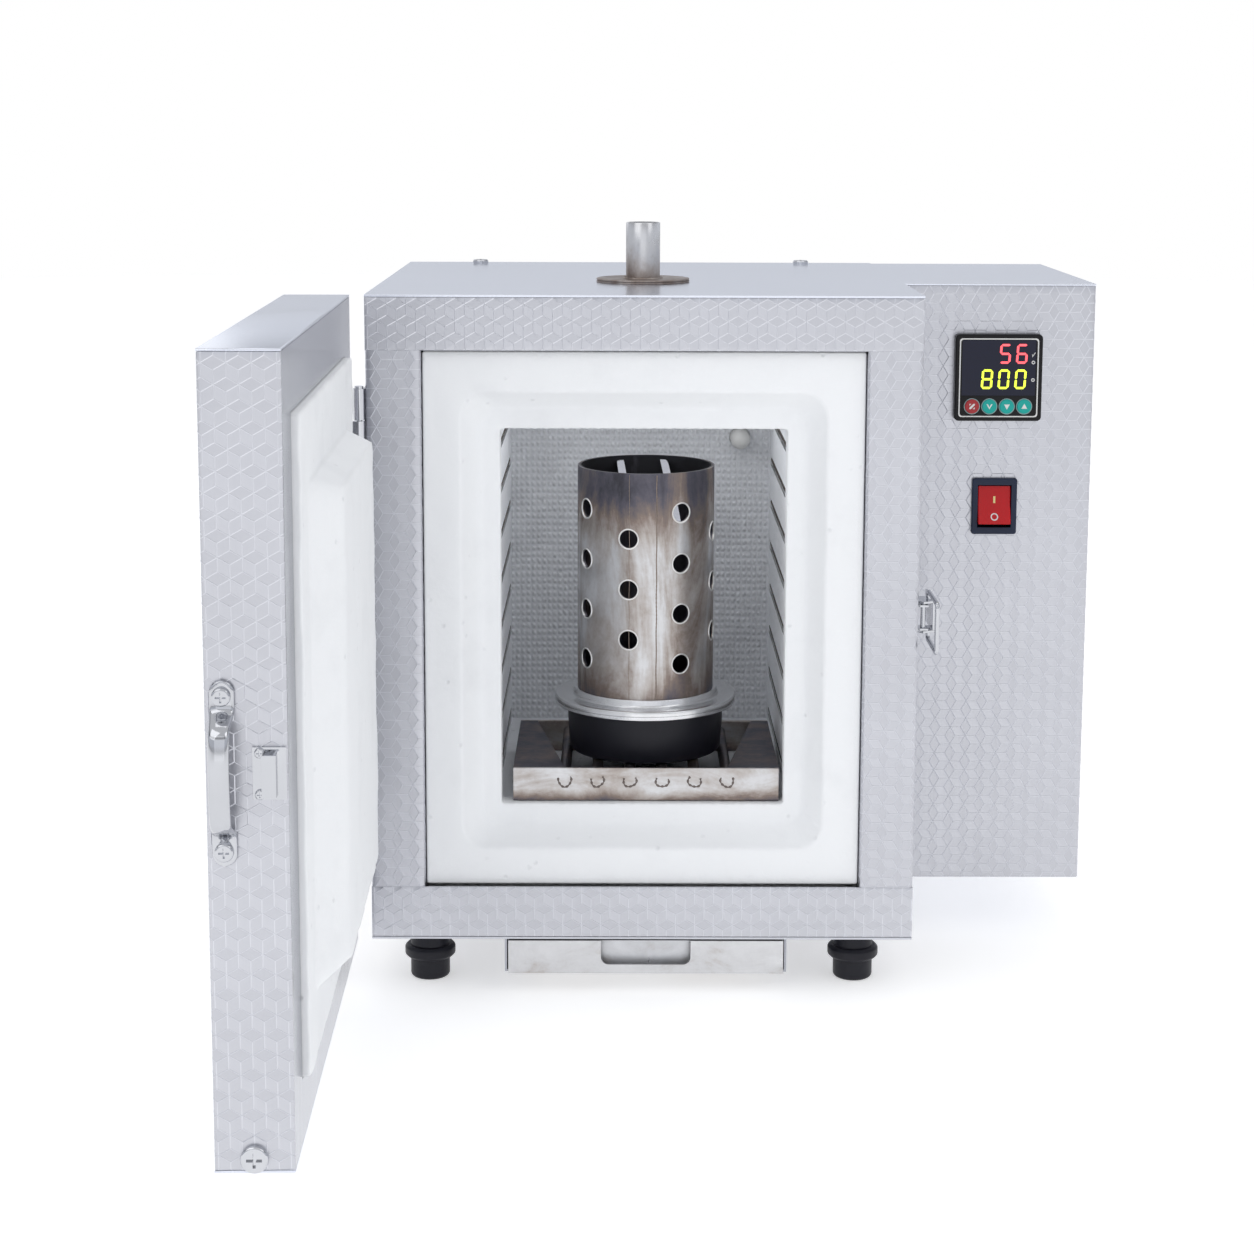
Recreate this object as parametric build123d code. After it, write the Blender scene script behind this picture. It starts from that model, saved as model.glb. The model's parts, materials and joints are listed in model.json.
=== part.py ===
"""Bench burnout kiln: a steel cabinet lined with ceramic-fibre board, a side-hung plug door, a control box on
its right side, a lift-out flue, a wax drip tray, and a grate that carries a perforated casting flask.

Millimetres. x runs to the right, y to the back and z up. While it is built, x = 0 is the cabinet's middle,
y = 0 its front face and z = 0 its underside. Everything is moved at the end, so that the origin lies on the
floor under the middle of the whole footprint, with the door standing open.
"""

from build123d import *

import os

# ---------------------------------------------------------------- cabinet
cabinet_w = 290.0
cabinet_h = 346.0
cabinet_d = 282.0
sheet = 1.2  # thickness of every casing sheet
frame_w = 29.0  # visible width of the front frame, all round
frame_lip = 12.0  # return bend behind the frame's inner edge
fit_gap = 0.5  # clearance between pieces that are only set beside each other
slide_gap = 0.3  # clearance under a piece that slides

# ---------------------------------------------------------------- hot chamber
collar_front = 4.0  # how far the fibre collar stands behind the frame
collar_back = 30.0
recess_side = 21.0  # frame's inner edge to the recess, at the sides and the bottom
recess_top = 23.0
recess_floor = 18.0  # y of the ledge that the door plug closes against
recess_draft = 9.0
ledge_side = 19.0  # recess mouth to chamber mouth
ledge_height = 20.0
recess_corner = 14.0
chamber_step = 2.5  # chamber wall behind the edge of the mouth
board = 25.0  # fibre board thickness
blanket_back = 25.5
rear_space = 24.8  # wiring space behind the rear insulation
casing_gap = 7.0  # air between insulation and casing
element_rows = 8
element_top = 16.0
element_bottom = 8.0
groove_r = 4.5
element_r = 3.4
lead_r = 1.5
lead_clear = 0.8
link_inset = 3.0  # links stand this far inside the rows' ends
groove_depth = 3.5  # groove centre behind the wall face
flue_r = 9.5
flue_wall = 1.5
flue_y = 105.0
flue_above = 33.0
flue_flange_r = 26.0
flue_flange_t = 2.0
flue_clear = 0.7
probe_r = 6.0
probe_x = 60.0
probe_below_top = 29.0
probe_reach = 15.0  # sheath standing out of the chamber's back wall

# ---------------------------------------------------------------- grate and flask
load_x = 2.0  # centre line of grate, flask, drain and tray
grate_side = 4.0  # clearance to the chamber mouth, each side
grate_front = 23.0
grate_before = 16.5  # grate in front of the sprue base
grate_behind = 1.5
grate_h = 18.1
grate_sheet = 1.2
grate_bar = 1.5
grate_rod_r = 3.0
grate_rod_n = 6
grate_rod_pitch = 17.6
grate_rod_below = 6.4
shelf_front = 28.0
shelf_back = 10.0
flask_r = 38.0
flask_wall = 1.8
base_r = flask_r + 5.5
flask_y = grate_front + grate_before + base_r
grate_d = grate_before + 2 * base_r + grate_behind
base_h = 26.2
flange_r = flask_r + 12.75
flange_h = 5.0
step_r = flask_r + 2.0
step_h = 4.0
flask_headroom = 28.0
flask_hole_r = 5.0
flask_hole_pitch = 28.0
flask_columns = 8

# ---------------------------------------------------------------- feet, drain and drip tray
foot_h = 30.0
foot_r = 10.7
foot_collar_r = 13.8
foot_collar_top = 11.5
foot_collar_h = 7.1
foot_inset = 29.0  # from the cabinet's side, and from its front and back
drain_r = 7.0
drain_wall = 1.5
tray_w = 148.0
tray_d = 200.0
tray_h = 18.5
tray_sheet = 1.0
tray_drop = 0.8  # tray's rim below the cabinet
tray_inner_front = 12.0
notch_w = 48.0
notch_h = 13.3
notch_corner = 4.0

# ---------------------------------------------------------------- door
door_t = 34.0
door_gap = 1.5
door_open = 89.0  # degrees, as the door stands at rest
plug_gap = 0.5
plug_proud = 4.0
plateau_proud = 13.0  # beyond the plug's first level
plateau_clear = 3.0  # to the recess mouth
plateau_slope = 7.0
plateau_latch_slope = 27.0  # long slope that lets the plug swing out
plateau_below = 8.0
plateau_above = 10.0
knuckle_r = 3.2
pin_out = knuckle_r + 0.2  # hinge pin outside the cabinet's side
pin_back = 2.5  # hinge pin behind the cabinet's front
pin_r = 1.5
running = 0.05  # radial clearance of a pin in its hole
hinge_h = 50.0
hinge_inset = 49.0
hinge_leaf = 25.0
leaf_t = 1.2

# ---------------------------------------------------------------- handle, strike and latch
latch_z = 172.5
handle_l = 78.0
handle_w = 10.3
handle_out = 16.0
handle_t = 2.5
handle_screws = 65.0
handle_back = 21.2  # from the door's inner face
strike_w = 14.0
strike_h = 22.0
strike_screws = 17.4
hook_w = 17.6
hook_back = 4.3  # hook web from the door's inner face
hook_out = 6.5
latch_base_h = 43.0
latch_base_y = (16.0, 42.0)
latch_pin = (5.0, 22.0)  # lever pin: out from the side, back from the front
loop_pin = (8.5, 27.0)
loop_front = -9.0
loop_wire_r = 1.25
loop_half = 13.0
lever_back = 56.0
lever_out = 11.6
lever_half = 8.6
ear_half = 7.0

# ---------------------------------------------------------------- control box
box_w = 107.0
box_front = 96.0
box_back = 276.0
box_lift = 4.0
panel_x = 53.0  # instruments' centre line, from the cabinet's side
meter_z = 294.0
meter = 48.5
meter_body = 44.4
meter_proud = 6.0
meter_depth = 72.0
window_w = 41.0
window_h = 31.0
window_up = 5.5
window_t = 1.0
key_r = 4.0
key_gap = 0.2
key_pitch = 9.7
key_drop = 16.0
key_h = 3.6
key_proud = 0.8
rocker_z = 221.0
rocker_frame_w = 25.3
rocker_frame_h = 31.9
rocker_body_w = 21.8
rocker_body_h = 27.8
rocker_proud = 2.5
rocker_w = 18.3
rocker_h = 22.0
rocker_side_gap = 0.25
rocker_end_gap = 1.0
rocker_tilt = 10.0
gland_z = 40.0
gland_bore_r = 3.5
gland_r = 6.0


def slab(x, y, z):
    """A block between two values of x, of y and of z."""
    middle = Pos((x[0] + x[1]) / 2, (y[0] + y[1]) / 2, (z[0] + z[1]) / 2)
    return middle * Box(x[1] - x[0], y[1] - y[0], z[1] - z[0])


def rod(start, end, r):
    """A round bar of radius r from one point to another."""
    a, b = Vector(*start), Vector(*end)
    return Plane(origin=a, z_dir=b - a) * Cylinder(r, (b - a).length, align=(Align.CENTER, Align.CENTER, Align.MIN))


def pipe(start, end, outer, inner):
    """A round tube from one point to another."""
    return rod(start, end, outer) - rod(start, end, inner)


def group(pieces):
    """Separate solids that share one node."""
    return Compound([solid for piece in pieces for solid in piece.solids()])


def tapered(near, far, radius_near, radius_far):
    """A block with rounded corners between two rectangles, each given as (y, x range, z range)."""
    faces = []
    for (y, x, z), radius in ((near, radius_near), (far, radius_far)):
        at = Plane(origin=((x[0] + x[1]) / 2, y, (z[0] + z[1]) / 2), x_dir=(1, 0, 0), z_dir=(0, -1, 0))
        faces.append(at * RectangleRounded(x[1] - x[0], z[1] - z[0], radius))
    return loft([faces[0].face(), faces[1].face()])


def screw(seat, out, head_r=2.5, head_h=1.5, shank_r=1.5, shank_l=5.0):
    """A pan-head screw with a cross recess; its head rests on seat and points along out."""
    at = Plane(origin=seat, z_dir=out)
    low = (Align.CENTER, Align.CENTER, Align.MIN)
    head = Cylinder(head_r, head_h, align=low)
    head = fillet(head.edges().group_by(Axis.Z)[-1], head_h * 0.45)
    for turn in (0, 90):
        head -= Rot(0, 0, turn) * Pos(0, 0, head_h * 0.4) * Box(head_r * 1.1, head_r * 0.22, head_h, align=low)
    return at * (head + Pos(0, 0, -shank_l) * Cylinder(shank_r, shank_l, align=low))


def screw_hole(seat, out, shank_r=1.5, depth=5.0):
    """The clearance hole for a screw whose head rests on seat."""
    at = Plane(origin=seat, z_dir=out)
    return at * Pos(0, 0, -depth) * Cylinder(shank_r + 0.15, depth * 2, align=(Align.CENTER, Align.CENTER, Align.MIN))


# ---------------------------------------------------------------- levels that several pieces share
half_w = cabinet_w / 2
side_in = half_w - sheet
frame_x = half_w - frame_w
frame_z = (frame_w, cabinet_h - frame_w)
lid_z = cabinet_h - sheet
back_y = cabinet_d - sheet

recess_x = frame_x - recess_side
recess_z = (frame_z[0] + recess_side, frame_z[1] - recess_top)
mouth_x = recess_x - ledge_side
mouth_z = (recess_z[0] + ledge_height, recess_z[1] - ledge_height)
wall_x = mouth_x + chamber_step
board_x = wall_x + board
rear_y = back_y - rear_space  # back of the rear insulation
board_back = rear_y - blanket_back - fit_gap
chamber_back = board_back - board
lining_x = half_w - casing_gap
lining_top = cabinet_h - casing_gap + 1.0
lining_floor = 5.0

foot_places = [(sx * (half_w - foot_inset), y) for sx in (-1, 1) for y in (foot_inset - 1, cabinet_d - foot_inset + 1)]
screw_lid = [((sx * (half_w - 45), cabinet_d - 14, cabinet_h), (0, 0, 1)) for sx in (-1, 1)]
screw_back = [((sx * (half_w - 7), cabinet_d, z), (0, 1, 0)) for sx in (-1, 1)
              for z in (12.0, cabinet_h / 2, cabinet_h - 12.0)]
hinge_low = [hinge_inset, cabinet_h - hinge_inset - hinge_h]
screw_hinge = [((-half_w - leaf_t, 20.0, z + hinge_h / 2 + dz), (-1, 0, 0)) for z in hinge_low for dz in (-15, 15)]
screw_latch = [((half_w + leaf_t, sum(latch_base_y) / 2, latch_z + dz), (1, 0, 0)) for dz in (-17, 17)]

node = {}


# ---------------------------------------------------------------- casing
def make_casing():
    pan = slab((-half_w, half_w), (0, cabinet_d), (0, sheet))
    for x, y in foot_places:
        pan -= rod((x, y, -1), (x, y, sheet + 1), 2.65)
    node["base_pan"] = pan - rod((load_x, flask_y, -1), (load_x, flask_y, sheet + 1), drain_r + slide_gap)

    left = slab((-half_w, -side_in), (0, back_y), (sheet, lid_z))
    for seat, out in screw_hinge:
        left -= screw_hole(seat, out)
    node["left_side_panel"] = left
    right = slab((side_in, half_w), (0, back_y), (sheet, lid_z))
    for seat, out in screw_latch:
        right -= screw_hole(seat, out)
    node["right_side_panel"] = right - rod((side_in - 1, 230, 70), (half_w + 1, 230, 70), 9)

    lid = slab((-half_w, half_w), (0, cabinet_d), (lid_z, cabinet_h))
    lid -= rod((0, flue_y, lid_z - 1), (0, flue_y, cabinet_h + 1), flue_r + flue_clear)
    for seat, out in screw_lid:
        lid -= screw_hole(seat, out)
    node["top_cover"] = lid

    back = slab((-half_w, half_w), (back_y, cabinet_d), (sheet, lid_z))
    for seat, out in screw_back:
        back -= screw_hole(seat, out)
    for column in range(4):
        for row in range(5):
            x = (column - 1.5) * 50
            z = cabinet_h - 46 - row * 12
            back -= slab((x - 17, x + 17), (back_y - 1, cabinet_d + 1), (z - 1.5, z + 1.5))
    node["back_panel"] = back

    lip_y = (sheet, sheet + frame_lip)
    header = slab((-side_in, side_in), (0, sheet), (frame_z[1], lid_z))
    node["front_header"] = header + slab((-side_in, side_in), lip_y, (frame_z[1], frame_z[1] + sheet))
    sill = slab((-side_in, side_in), (0, sheet), (sheet, frame_z[0]))
    node["front_sill"] = sill + slab((-side_in, side_in), lip_y, (frame_z[0] - sheet, frame_z[0]))
    posts = []
    for sx in (-1, 1):
        post = slab(sorted((sx * frame_x, sx * side_in)), (0, sheet), frame_z)
        posts.append(post + slab(sorted((sx * frame_x, sx * (frame_x + sheet))), lip_y, frame_z))
    node["front_posts"] = group(posts)

    screws = [screw(seat, out, head_r=4.75, head_h=2.4) for seat, out in screw_lid]
    screws += [screw(seat, out) for seat, out in screw_back + screw_hinge + screw_latch]
    node["casing_screws"] = group(screws)


# ---------------------------------------------------------------- refractory lining
def element_rods(side, row_r, link_r, lead_back):
    """One side's winding as bars: level rows joined at alternate ends, with two leads to the back."""
    x = side * (wall_x + groove_depth)
    front, back = collar_back + 6, chamber_back - 6
    top, bottom = mouth_z[1] - element_top, mouth_z[0] + element_bottom
    levels = [top - i * (top - bottom) / (element_rows - 1) for i in range(element_rows)]
    bars = [rod((x, front, z), (x, back, z), row_r) for z in levels]
    for i in range(1, element_rows):
        end = front + link_inset if i % 2 else back - link_inset
        bars.append(rod((x, end, levels[i]), (x, end, levels[i - 1]), link_r))
    bars += [rod((x, back - link_inset, z), (x, lead_back, z), link_r) for z in (levels[0], levels[-1])]
    return bars


def make_lining():
    collar = slab((-frame_x + 1, frame_x - 1), (collar_front, collar_back), (frame_z[0] + 1, frame_z[1] - 1))
    near = (collar_front - 0.01, (-recess_x, recess_x), recess_z)
    far_x = (-recess_x + recess_draft, recess_x - recess_draft)
    far_z = (recess_z[0] + recess_draft, recess_z[1] - recess_draft)
    collar -= tapered(near, (recess_floor, far_x, far_z), recess_corner, recess_corner - 4)
    node["fibre_front_collar"] = collar - slab((-mouth_x, mouth_x), (0, collar_back + 1), mouth_z)

    deep = (collar_back, board_back)
    flue = rod((0, flue_y, mouth_z[1] - 1), (0, flue_y, cabinet_h), flue_r + flue_clear)
    drain = rod((load_x, flask_y, 0), (load_x, flask_y, mouth_z[0] + 1), drain_r + slide_gap)
    probe_z = mouth_z[1] - probe_below_top
    probe = rod((probe_x, collar_back, probe_z), (probe_x, back_y, probe_z), probe_r + slide_gap)
    for side, hand in ((-1, "left"), (1, "right")):
        wall = slab(sorted((side * wall_x, side * board_x)), deep, mouth_z)
        for bar in element_rods(side, groove_r, lead_r + lead_clear, board_back + 1):
            wall -= bar
        node[f"chamber_wall_{hand}"] = wall
    node["chamber_wall_back"] = slab((-wall_x, wall_x), (chamber_back, board_back), mouth_z) - probe
    node["chamber_floor"] = slab((-board_x, board_x), deep, (mouth_z[0] - board, mouth_z[0])) - drain
    node["chamber_roof"] = slab((-board_x, board_x), deep, (mouth_z[1], mouth_z[1] + board)) - flue

    wrap_y = (collar_back + fit_gap, board_back)
    wrap = slab((-lining_x, lining_x), wrap_y, (mouth_z[0] - board, lining_top))
    hot = slab((-board_x - fit_gap, board_x + fit_gap), (0, cabinet_d), (0, mouth_z[1] + board + fit_gap))
    node["insulation_wrap"] = wrap - hot - flue
    bottom_z = (lining_floor, mouth_z[0] - board - fit_gap)
    node["insulation_bottom"] = slab((-lining_x, lining_x), wrap_y, bottom_z) - drain
    behind = slab((-lining_x, lining_x), (board_back + fit_gap, rear_y), (lining_floor, lining_top)) - probe
    for side, hand in ((-1, "left"), (1, "right")):
        for bar in element_rods(side, lead_r, lead_r + lead_clear, back_y)[-2:]:
            behind -= bar
        bars = element_rods(side, element_r, lead_r, rear_y + 12)
        node[f"heating_element_{hand}"] = bars[0].fuse(*bars[1:])
    node["insulation_back"] = behind

    tip = chamber_back - probe_reach
    sheath = rod((probe_x, tip + probe_r, probe_z), (probe_x, rear_y + 2, probe_z), probe_r)
    node["thermocouple_sheath"] = sheath + Pos(probe_x, tip + probe_r, probe_z) * Sphere(probe_r)
    node["thermocouple_head"] = rod((probe_x, rear_y + 2, probe_z), (probe_x, rear_y + 20, probe_z), 11)
    node["drain_tube"] = pipe((load_x, flask_y, 0), (load_x, flask_y, mouth_z[0] - fit_gap), drain_r, drain_r - drain_wall)


def make_flue():
    low, high = mouth_z[1] + 2, cabinet_h + flue_above
    node["flue_tube"] = pipe((0, flue_y, low), (0, flue_y, high), flue_r, flue_r - flue_wall)
    flange_z = (cabinet_h, cabinet_h + flue_flange_t)
    node["flue_flange"] = pipe((0, flue_y, flange_z[0]), (0, flue_y, flange_z[1]), flue_flange_r, flue_r + running)


# ---------------------------------------------------------------- feet and drip tray
def make_underside():
    feet, bolts = [], []
    for x, y in foot_places:
        foot = Pos(x, y, -foot_h / 2) * Cylinder(foot_r, foot_h)
        foot = fillet(foot.edges().group_by(Axis.Z)[0], 2.2)
        collar = Pos(x, y, -foot_collar_top - foot_collar_h / 2) * Cylinder(foot_collar_r, foot_collar_h)
        foot += chamfer(collar.edges().filter_by(GeomType.CIRCLE), 1.6)
        feet.append(foot - rod((x, y, -16), (x, y, 1), 2.6))
        bolts.append(screw((x, y, sheet), (0, 0, 1), head_r=4.5, head_h=2.6, shank_r=2.5, shank_l=13.0))
    node["rubber_feet"] = group(feet)
    node["foot_screws"] = group(bolts)

    x0, x1 = load_x - tray_w / 2, load_x + tray_w / 2
    top, floor = -tray_drop, -tray_drop - tray_h
    tray = slab((x0, x1), (0, tray_d), (floor, top))
    tray -= slab((x0 + tray_sheet, x1 - tray_sheet), (tray_sheet, tray_d - tray_sheet), (floor + tray_sheet, top + 1))
    at = Plane(origin=(load_x, 0, top), x_dir=(1, 0, 0), z_dir=(0, -1, 0))
    notch = extrude(at * RectangleRounded(notch_w, notch_h * 2, notch_corner), tray_sheet * 2, both=True)
    tray -= notch
    inner_y = (tray_inner_front, tray_inner_front + tray_sheet)
    tray += slab((x0 + tray_sheet / 2, x1 - tray_sheet / 2), inner_y, (floor + tray_sheet / 2, top - 4))
    node["drip_tray"] = tray

    runners = []
    for side, edge in ((-1, x0), (1, x1)):
        leg = sorted((edge + side * 1.0, edge + side * 2.2))
        runner = slab(leg, (8, tray_d + 10), (floor - 1.7, 0))
        runner += slab(sorted((edge + side * 2.2, edge - side * 6)), (8, tray_d + 10), (floor - 1.7, floor - 0.5))
        runner += slab(sorted((edge + side * 1.0, edge + side * 14)), (8, tray_d + 10), (-sheet, 0))
        runners.append(runner)
    node["tray_runners"] = group(runners)


# ---------------------------------------------------------------- grate and flask
def make_load():
    x0, x1 = load_x - mouth_x + grate_side, load_x + mouth_x - grate_side
    y0, y1 = grate_front, grate_front + grate_d
    z0 = mouth_z[0] + slide_gap
    z1 = z0 + grate_h
    bars = [slab((x0, x1), span, (z0, z1)) for span in ((y0, y0 + grate_bar), (y1 - grate_bar, y1))]
    node["grate_end_bars"] = group(bars)
    inside = (y0 + grate_bar, y1 - grate_bar)
    rod_z = z1 - grate_rod_below
    places = [load_x + (i - (grate_rod_n - 1) / 2) * grate_rod_pitch for i in range(grate_rod_n)]
    node["grate_rods"] = group([rod((x, inside[0], rod_z), (x, inside[1], rod_z), grate_rod_r) for x in places])
    shelves = []
    for side, edge in ((1, x0), (-1, x1)):
        outline = [(edge, inside[0]), (edge + side * shelf_front, inside[0]),
                   (edge + side * shelf_back, inside[1]), (edge, inside[1])]
        top = extrude(make_face(Polyline(*outline, close=True)), grate_sheet, dir=(0, 0, 1))
        top = Pos(0, 0, z1 - grate_sheet) * top
        shelves.append(top + slab(sorted((edge, edge + side * grate_sheet)), inside, (z0, z1 - grate_sheet / 2)))
    node["grate_shelves"] = group(shelves)

    base_z = rod_z + grate_rod_r + slide_gap
    base_top = base_z + base_h
    base = rod((load_x, flask_y, base_z), (load_x, flask_y, base_top), base_r)
    node["sprue_base"] = fillet(base.edges().filter_by(GeomType.CIRCLE), 1.5)

    low = base_top + slide_gap
    high = mouth_z[1] - flask_headroom
    flange = pipe((load_x, flask_y, low), (load_x, flask_y, low + flange_h), flange_r, flask_r + running)
    step = (low + flange_h, low + flange_h + step_h)
    flange += pipe((load_x, flask_y, step[0]), (load_x, flask_y, step[1]), step_r, flask_r + running)
    node["flask_flange"] = flange
    shell = pipe((load_x, flask_y, low), (load_x, flask_y, high), flask_r, flask_r - flask_wall)
    middle = Vector(load_x, flask_y, 0)
    for column in range(flask_columns):
        turn = 360 / flask_columns * column - 60
        start = high - (22 if column % 2 == 0 else 22 + flask_hole_pitch / 2)
        count = int((start - step[1] - flask_hole_r - 4) / flask_hole_pitch) + 1
        for i in range(count):
            out = Vector(1, 0, 0).rotate(Axis.Z, turn - 90)
            centre = middle + Vector(0, 0, start - i * flask_hole_pitch)
            shell -= rod(centre + out * (flask_r - 8), centre + out * (flask_r + 8), flask_hole_r)
    node["flask_shell"] = shell


# ---------------------------------------------------------------- door, drawn shut and then swung open
def make_door():
    inner, outer = -door_gap, -door_gap - door_t
    edge = half_w
    shell = slab((-half_w, half_w), (outer, inner), (0, cabinet_h))
    shell -= slab((-side_in, side_in), (outer + sheet, inner + 1), (sheet, lid_z))
    skin = (inner - sheet, inner)
    liner = [slab((-side_in, side_in), skin, (frame_z[1], lid_z)), slab((-side_in, side_in), skin, (sheet, frame_z[0]))]
    liner += [slab(sorted((sx * frame_x, sx * side_in)), skin, frame_z) for sx in (-1, 1)]

    first = inner + plug_proud
    plug_z = (frame_z[0] + plug_gap, frame_z[1] - plug_gap)
    plug = slab((-frame_x + plug_gap, frame_x - plug_gap), (outer + sheet, first), plug_z)
    low_x = (-recess_x + plateau_clear, recess_x - plateau_clear)
    low_z = (recess_z[0] + plateau_below, recess_z[1] - plateau_above)
    high_x = (low_x[0] + plateau_slope, low_x[1] - plateau_latch_slope)
    high_z = (low_z[0] + plateau_slope - 1, low_z[1] - plateau_slope + 1)
    plug += tapered((first, low_x, low_z), (first + plateau_proud, high_x, high_z), 10, 7)

    bow_y = (inner - handle_back - handle_w, inner - handle_back)
    at = Plane(origin=(0, bow_y[0], latch_z), x_dir=(0, 0, 1), z_dir=(0, 1, 0))
    foot, crest = edge + handle_t / 2, edge + handle_out - handle_t / 2
    end, knee, crown = handle_l / 2, handle_screws / 2 - 7.0, handle_screws / 2 - 13.5
    line = FilletPolyline((-end, foot), (-knee, foot), (-crown, crest), (crown, crest), (knee, foot), (end, foot),
                          radius=4)
    handle = extrude(at * trace(line, line_width=handle_t), handle_w, dir=(0, 1, 0))
    middle_y = sum(bow_y) / 2
    big = [((edge + handle_t, middle_y, latch_z + sz * handle_screws / 2), (1, 0, 0)) for sz in (-1, 1)]
    strike_y = (inner - 0.5 - strike_w, inner - 0.5)
    hook_y = inner - hook_back
    plate = slab((edge, edge + leaf_t), strike_y, (latch_z - strike_h / 2, latch_z + strike_h / 2))
    tongue_z = (latch_z - hook_w / 2, latch_z + hook_w / 2)
    plate += slab((edge, edge + hook_out), (hook_y - leaf_t, hook_y), tongue_z)
    plate += slab((edge + hook_out - 1.0, edge + hook_out), (hook_y - 6, hook_y), tongue_z)
    small = [((edge + leaf_t, strike_y[0] + 3, latch_z + sz * strike_screws / 2), (1, 0, 0)) for sz in (-1, 1)]
    low = [((edge, (inner + outer) / 2, 6.6), (1, 0, 0))]
    leaf_seats = [((-half_w - leaf_t, -18.0, z + hinge_h / 2 + dz), (-1, 0, 0)) for z in hinge_low for dz in (-15, 15)]

    for seat, out in big:
        handle -= screw_hole(seat, out, shank_r=2.0)
        shell -= screw_hole(seat, out, shank_r=2.0)
    for seat, out in small:
        plate -= screw_hole(seat, out)
    for seat, out in small + low + leaf_seats:
        shell -= screw_hole(seat, out)
    screws = [screw(seat, out, head_r=4.0, head_h=2.6, shank_r=2.0, shank_l=9.0) for seat, out in big]
    screws += [screw(seat, out, head_r=2.1) for seat, out in small]
    screws += [screw(seat, out, head_r=6.0, head_h=2.6) for seat, out in low]
    screws += [screw(seat, out) for seat, out in leaf_seats]

    leaves = [make_leaf(z, -1) for z in hinge_low]
    for i, leaf in enumerate(leaves):
        for seat, out in leaf_seats:
            leaf -= screw_hole(seat, out)
        leaves[i] = leaf

    swing = Axis((-half_w - pin_out, pin_back, 0), (0, 0, 1))
    door = {"door_shell": shell, "door_liner": group(liner), "door_fibre_plug": plug, "door_handle": handle,
            "strike_plate": plate, "door_screws": group(screws), "hinge_leaves_door": group(leaves)}
    for name, shape in door.items():
        node[name] = shape.rotate(swing, -door_open)


def make_leaf(low, side):
    """One hinge leaf: side 1 is the cabinet's, with the outer knuckles, and side -1 the door's, with the middle one."""
    pin_x = -half_w - pin_out
    sheet_x = (-half_w - leaf_t, -half_w)
    third = hinge_h / 3
    if side > 0:
        leaf = slab(sheet_x, (7.0, 7.0 + hinge_leaf), (low, low + hinge_h))
        spans = [(low, low + third - 0.3), (low + 2 * third + 0.3, low + hinge_h)]
        arm = (pin_back, 7.5)
    else:
        leaf = slab(sheet_x, (-6.0 - hinge_leaf, -6.0), (low, low + hinge_h))
        spans = [(low + third + 0.3, low + 2 * third - 0.3)]
        arm = (-6.5, pin_back)
    for span in spans:
        leaf += slab(sheet_x, arm, span) + rod((pin_x, pin_back, span[0]), (pin_x, pin_back, span[1]), knuckle_r)
    return leaf - rod((pin_x, pin_back, low - 1), (pin_x, pin_back, low + hinge_h + 1), pin_r + running)


def make_hinges():
    leaves = []
    for low in hinge_low:
        leaf = make_leaf(low, 1)
        for seat, out in screw_hinge:
            leaf -= screw_hole(seat, out)
        leaves.append(leaf)
    node["hinge_leaves_body"] = group(leaves)
    pin_x = -half_w - pin_out
    pins = []
    for low in hinge_low:
        head = rod((pin_x, pin_back, low + hinge_h), (pin_x, pin_back, low + hinge_h + 1.2), 2.4)
        pins.append(head + rod((pin_x, pin_back, low), (pin_x, pin_back, low + hinge_h), pin_r))
    node["hinge_pins"] = group(pins)


# ---------------------------------------------------------------- draw latch on the right side
def make_latch():
    plate = slab((half_w, half_w + leaf_t), latch_base_y, (latch_z - latch_base_h / 2, latch_z + latch_base_h / 2))
    for seat, out in screw_latch:
        plate -= screw_hole(seat, out)
    px, py = half_w + latch_pin[0], latch_pin[1]
    for side in (-1, 1):
        z = sorted((latch_z + side * ear_half, latch_z + side * (ear_half - 1.2)))
        plate += slab((half_w, px + 2.6), (py - 3, py + 3), z)
    hole = rod((px, py, latch_z - loop_half), (px, py, latch_z + loop_half), loop_wire_r + running)
    node["latch_base"] = plate - hole

    lx, ly = half_w + loop_pin[0], loop_pin[1]
    out = half_w + lever_out
    lever = slab((out - leaf_t, out), (py + 1, lever_back), (latch_z - lever_half, latch_z + lever_half))
    tip = slab((out, out + 2.4), (lever_back - leaf_t, lever_back), (latch_z - lever_half, latch_z + lever_half))
    lever += tip
    outline = Polyline((px - 2.6, py), (px - 2.6, py + 4), (px - 1, py + 14), (out, py + 14), (out, py + 1),
                       (px + 2.6, py - 1), (px, py - 2.6), (px - 2.6, py), close=False)
    for side in (-1, 1):
        cheek = extrude(make_face(outline), 1.2, dir=(0, 0, 1))
        low = latch_z + side * lever_half - (1.2 if side > 0 else 0)
        lever += Pos(0, 0, low) * cheek
    lever += rod((px, py, latch_z - lever_half), (px, py, latch_z + lever_half), loop_wire_r)
    lever -= rod((lx, ly, latch_z - loop_half), (lx, ly, latch_z + loop_half), loop_wire_r + running)
    node["latch_lever"] = lever

    reach = loop_half - 1.5
    inner_end = lever_half - 1.4
    path = FilletPolyline((lx, ly, latch_z - inner_end), (lx, ly, latch_z - loop_half),
                          (lx, loop_front, latch_z - loop_half), (lx, loop_front, latch_z + loop_half),
                          (lx, ly, latch_z + loop_half), (lx, ly, latch_z + inner_end), radius=2.0)
    start = Plane(origin=path @ 0, z_dir=path % 0)
    node["latch_loop"] = sweep(start * Circle(loop_wire_r), path=path)


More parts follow.
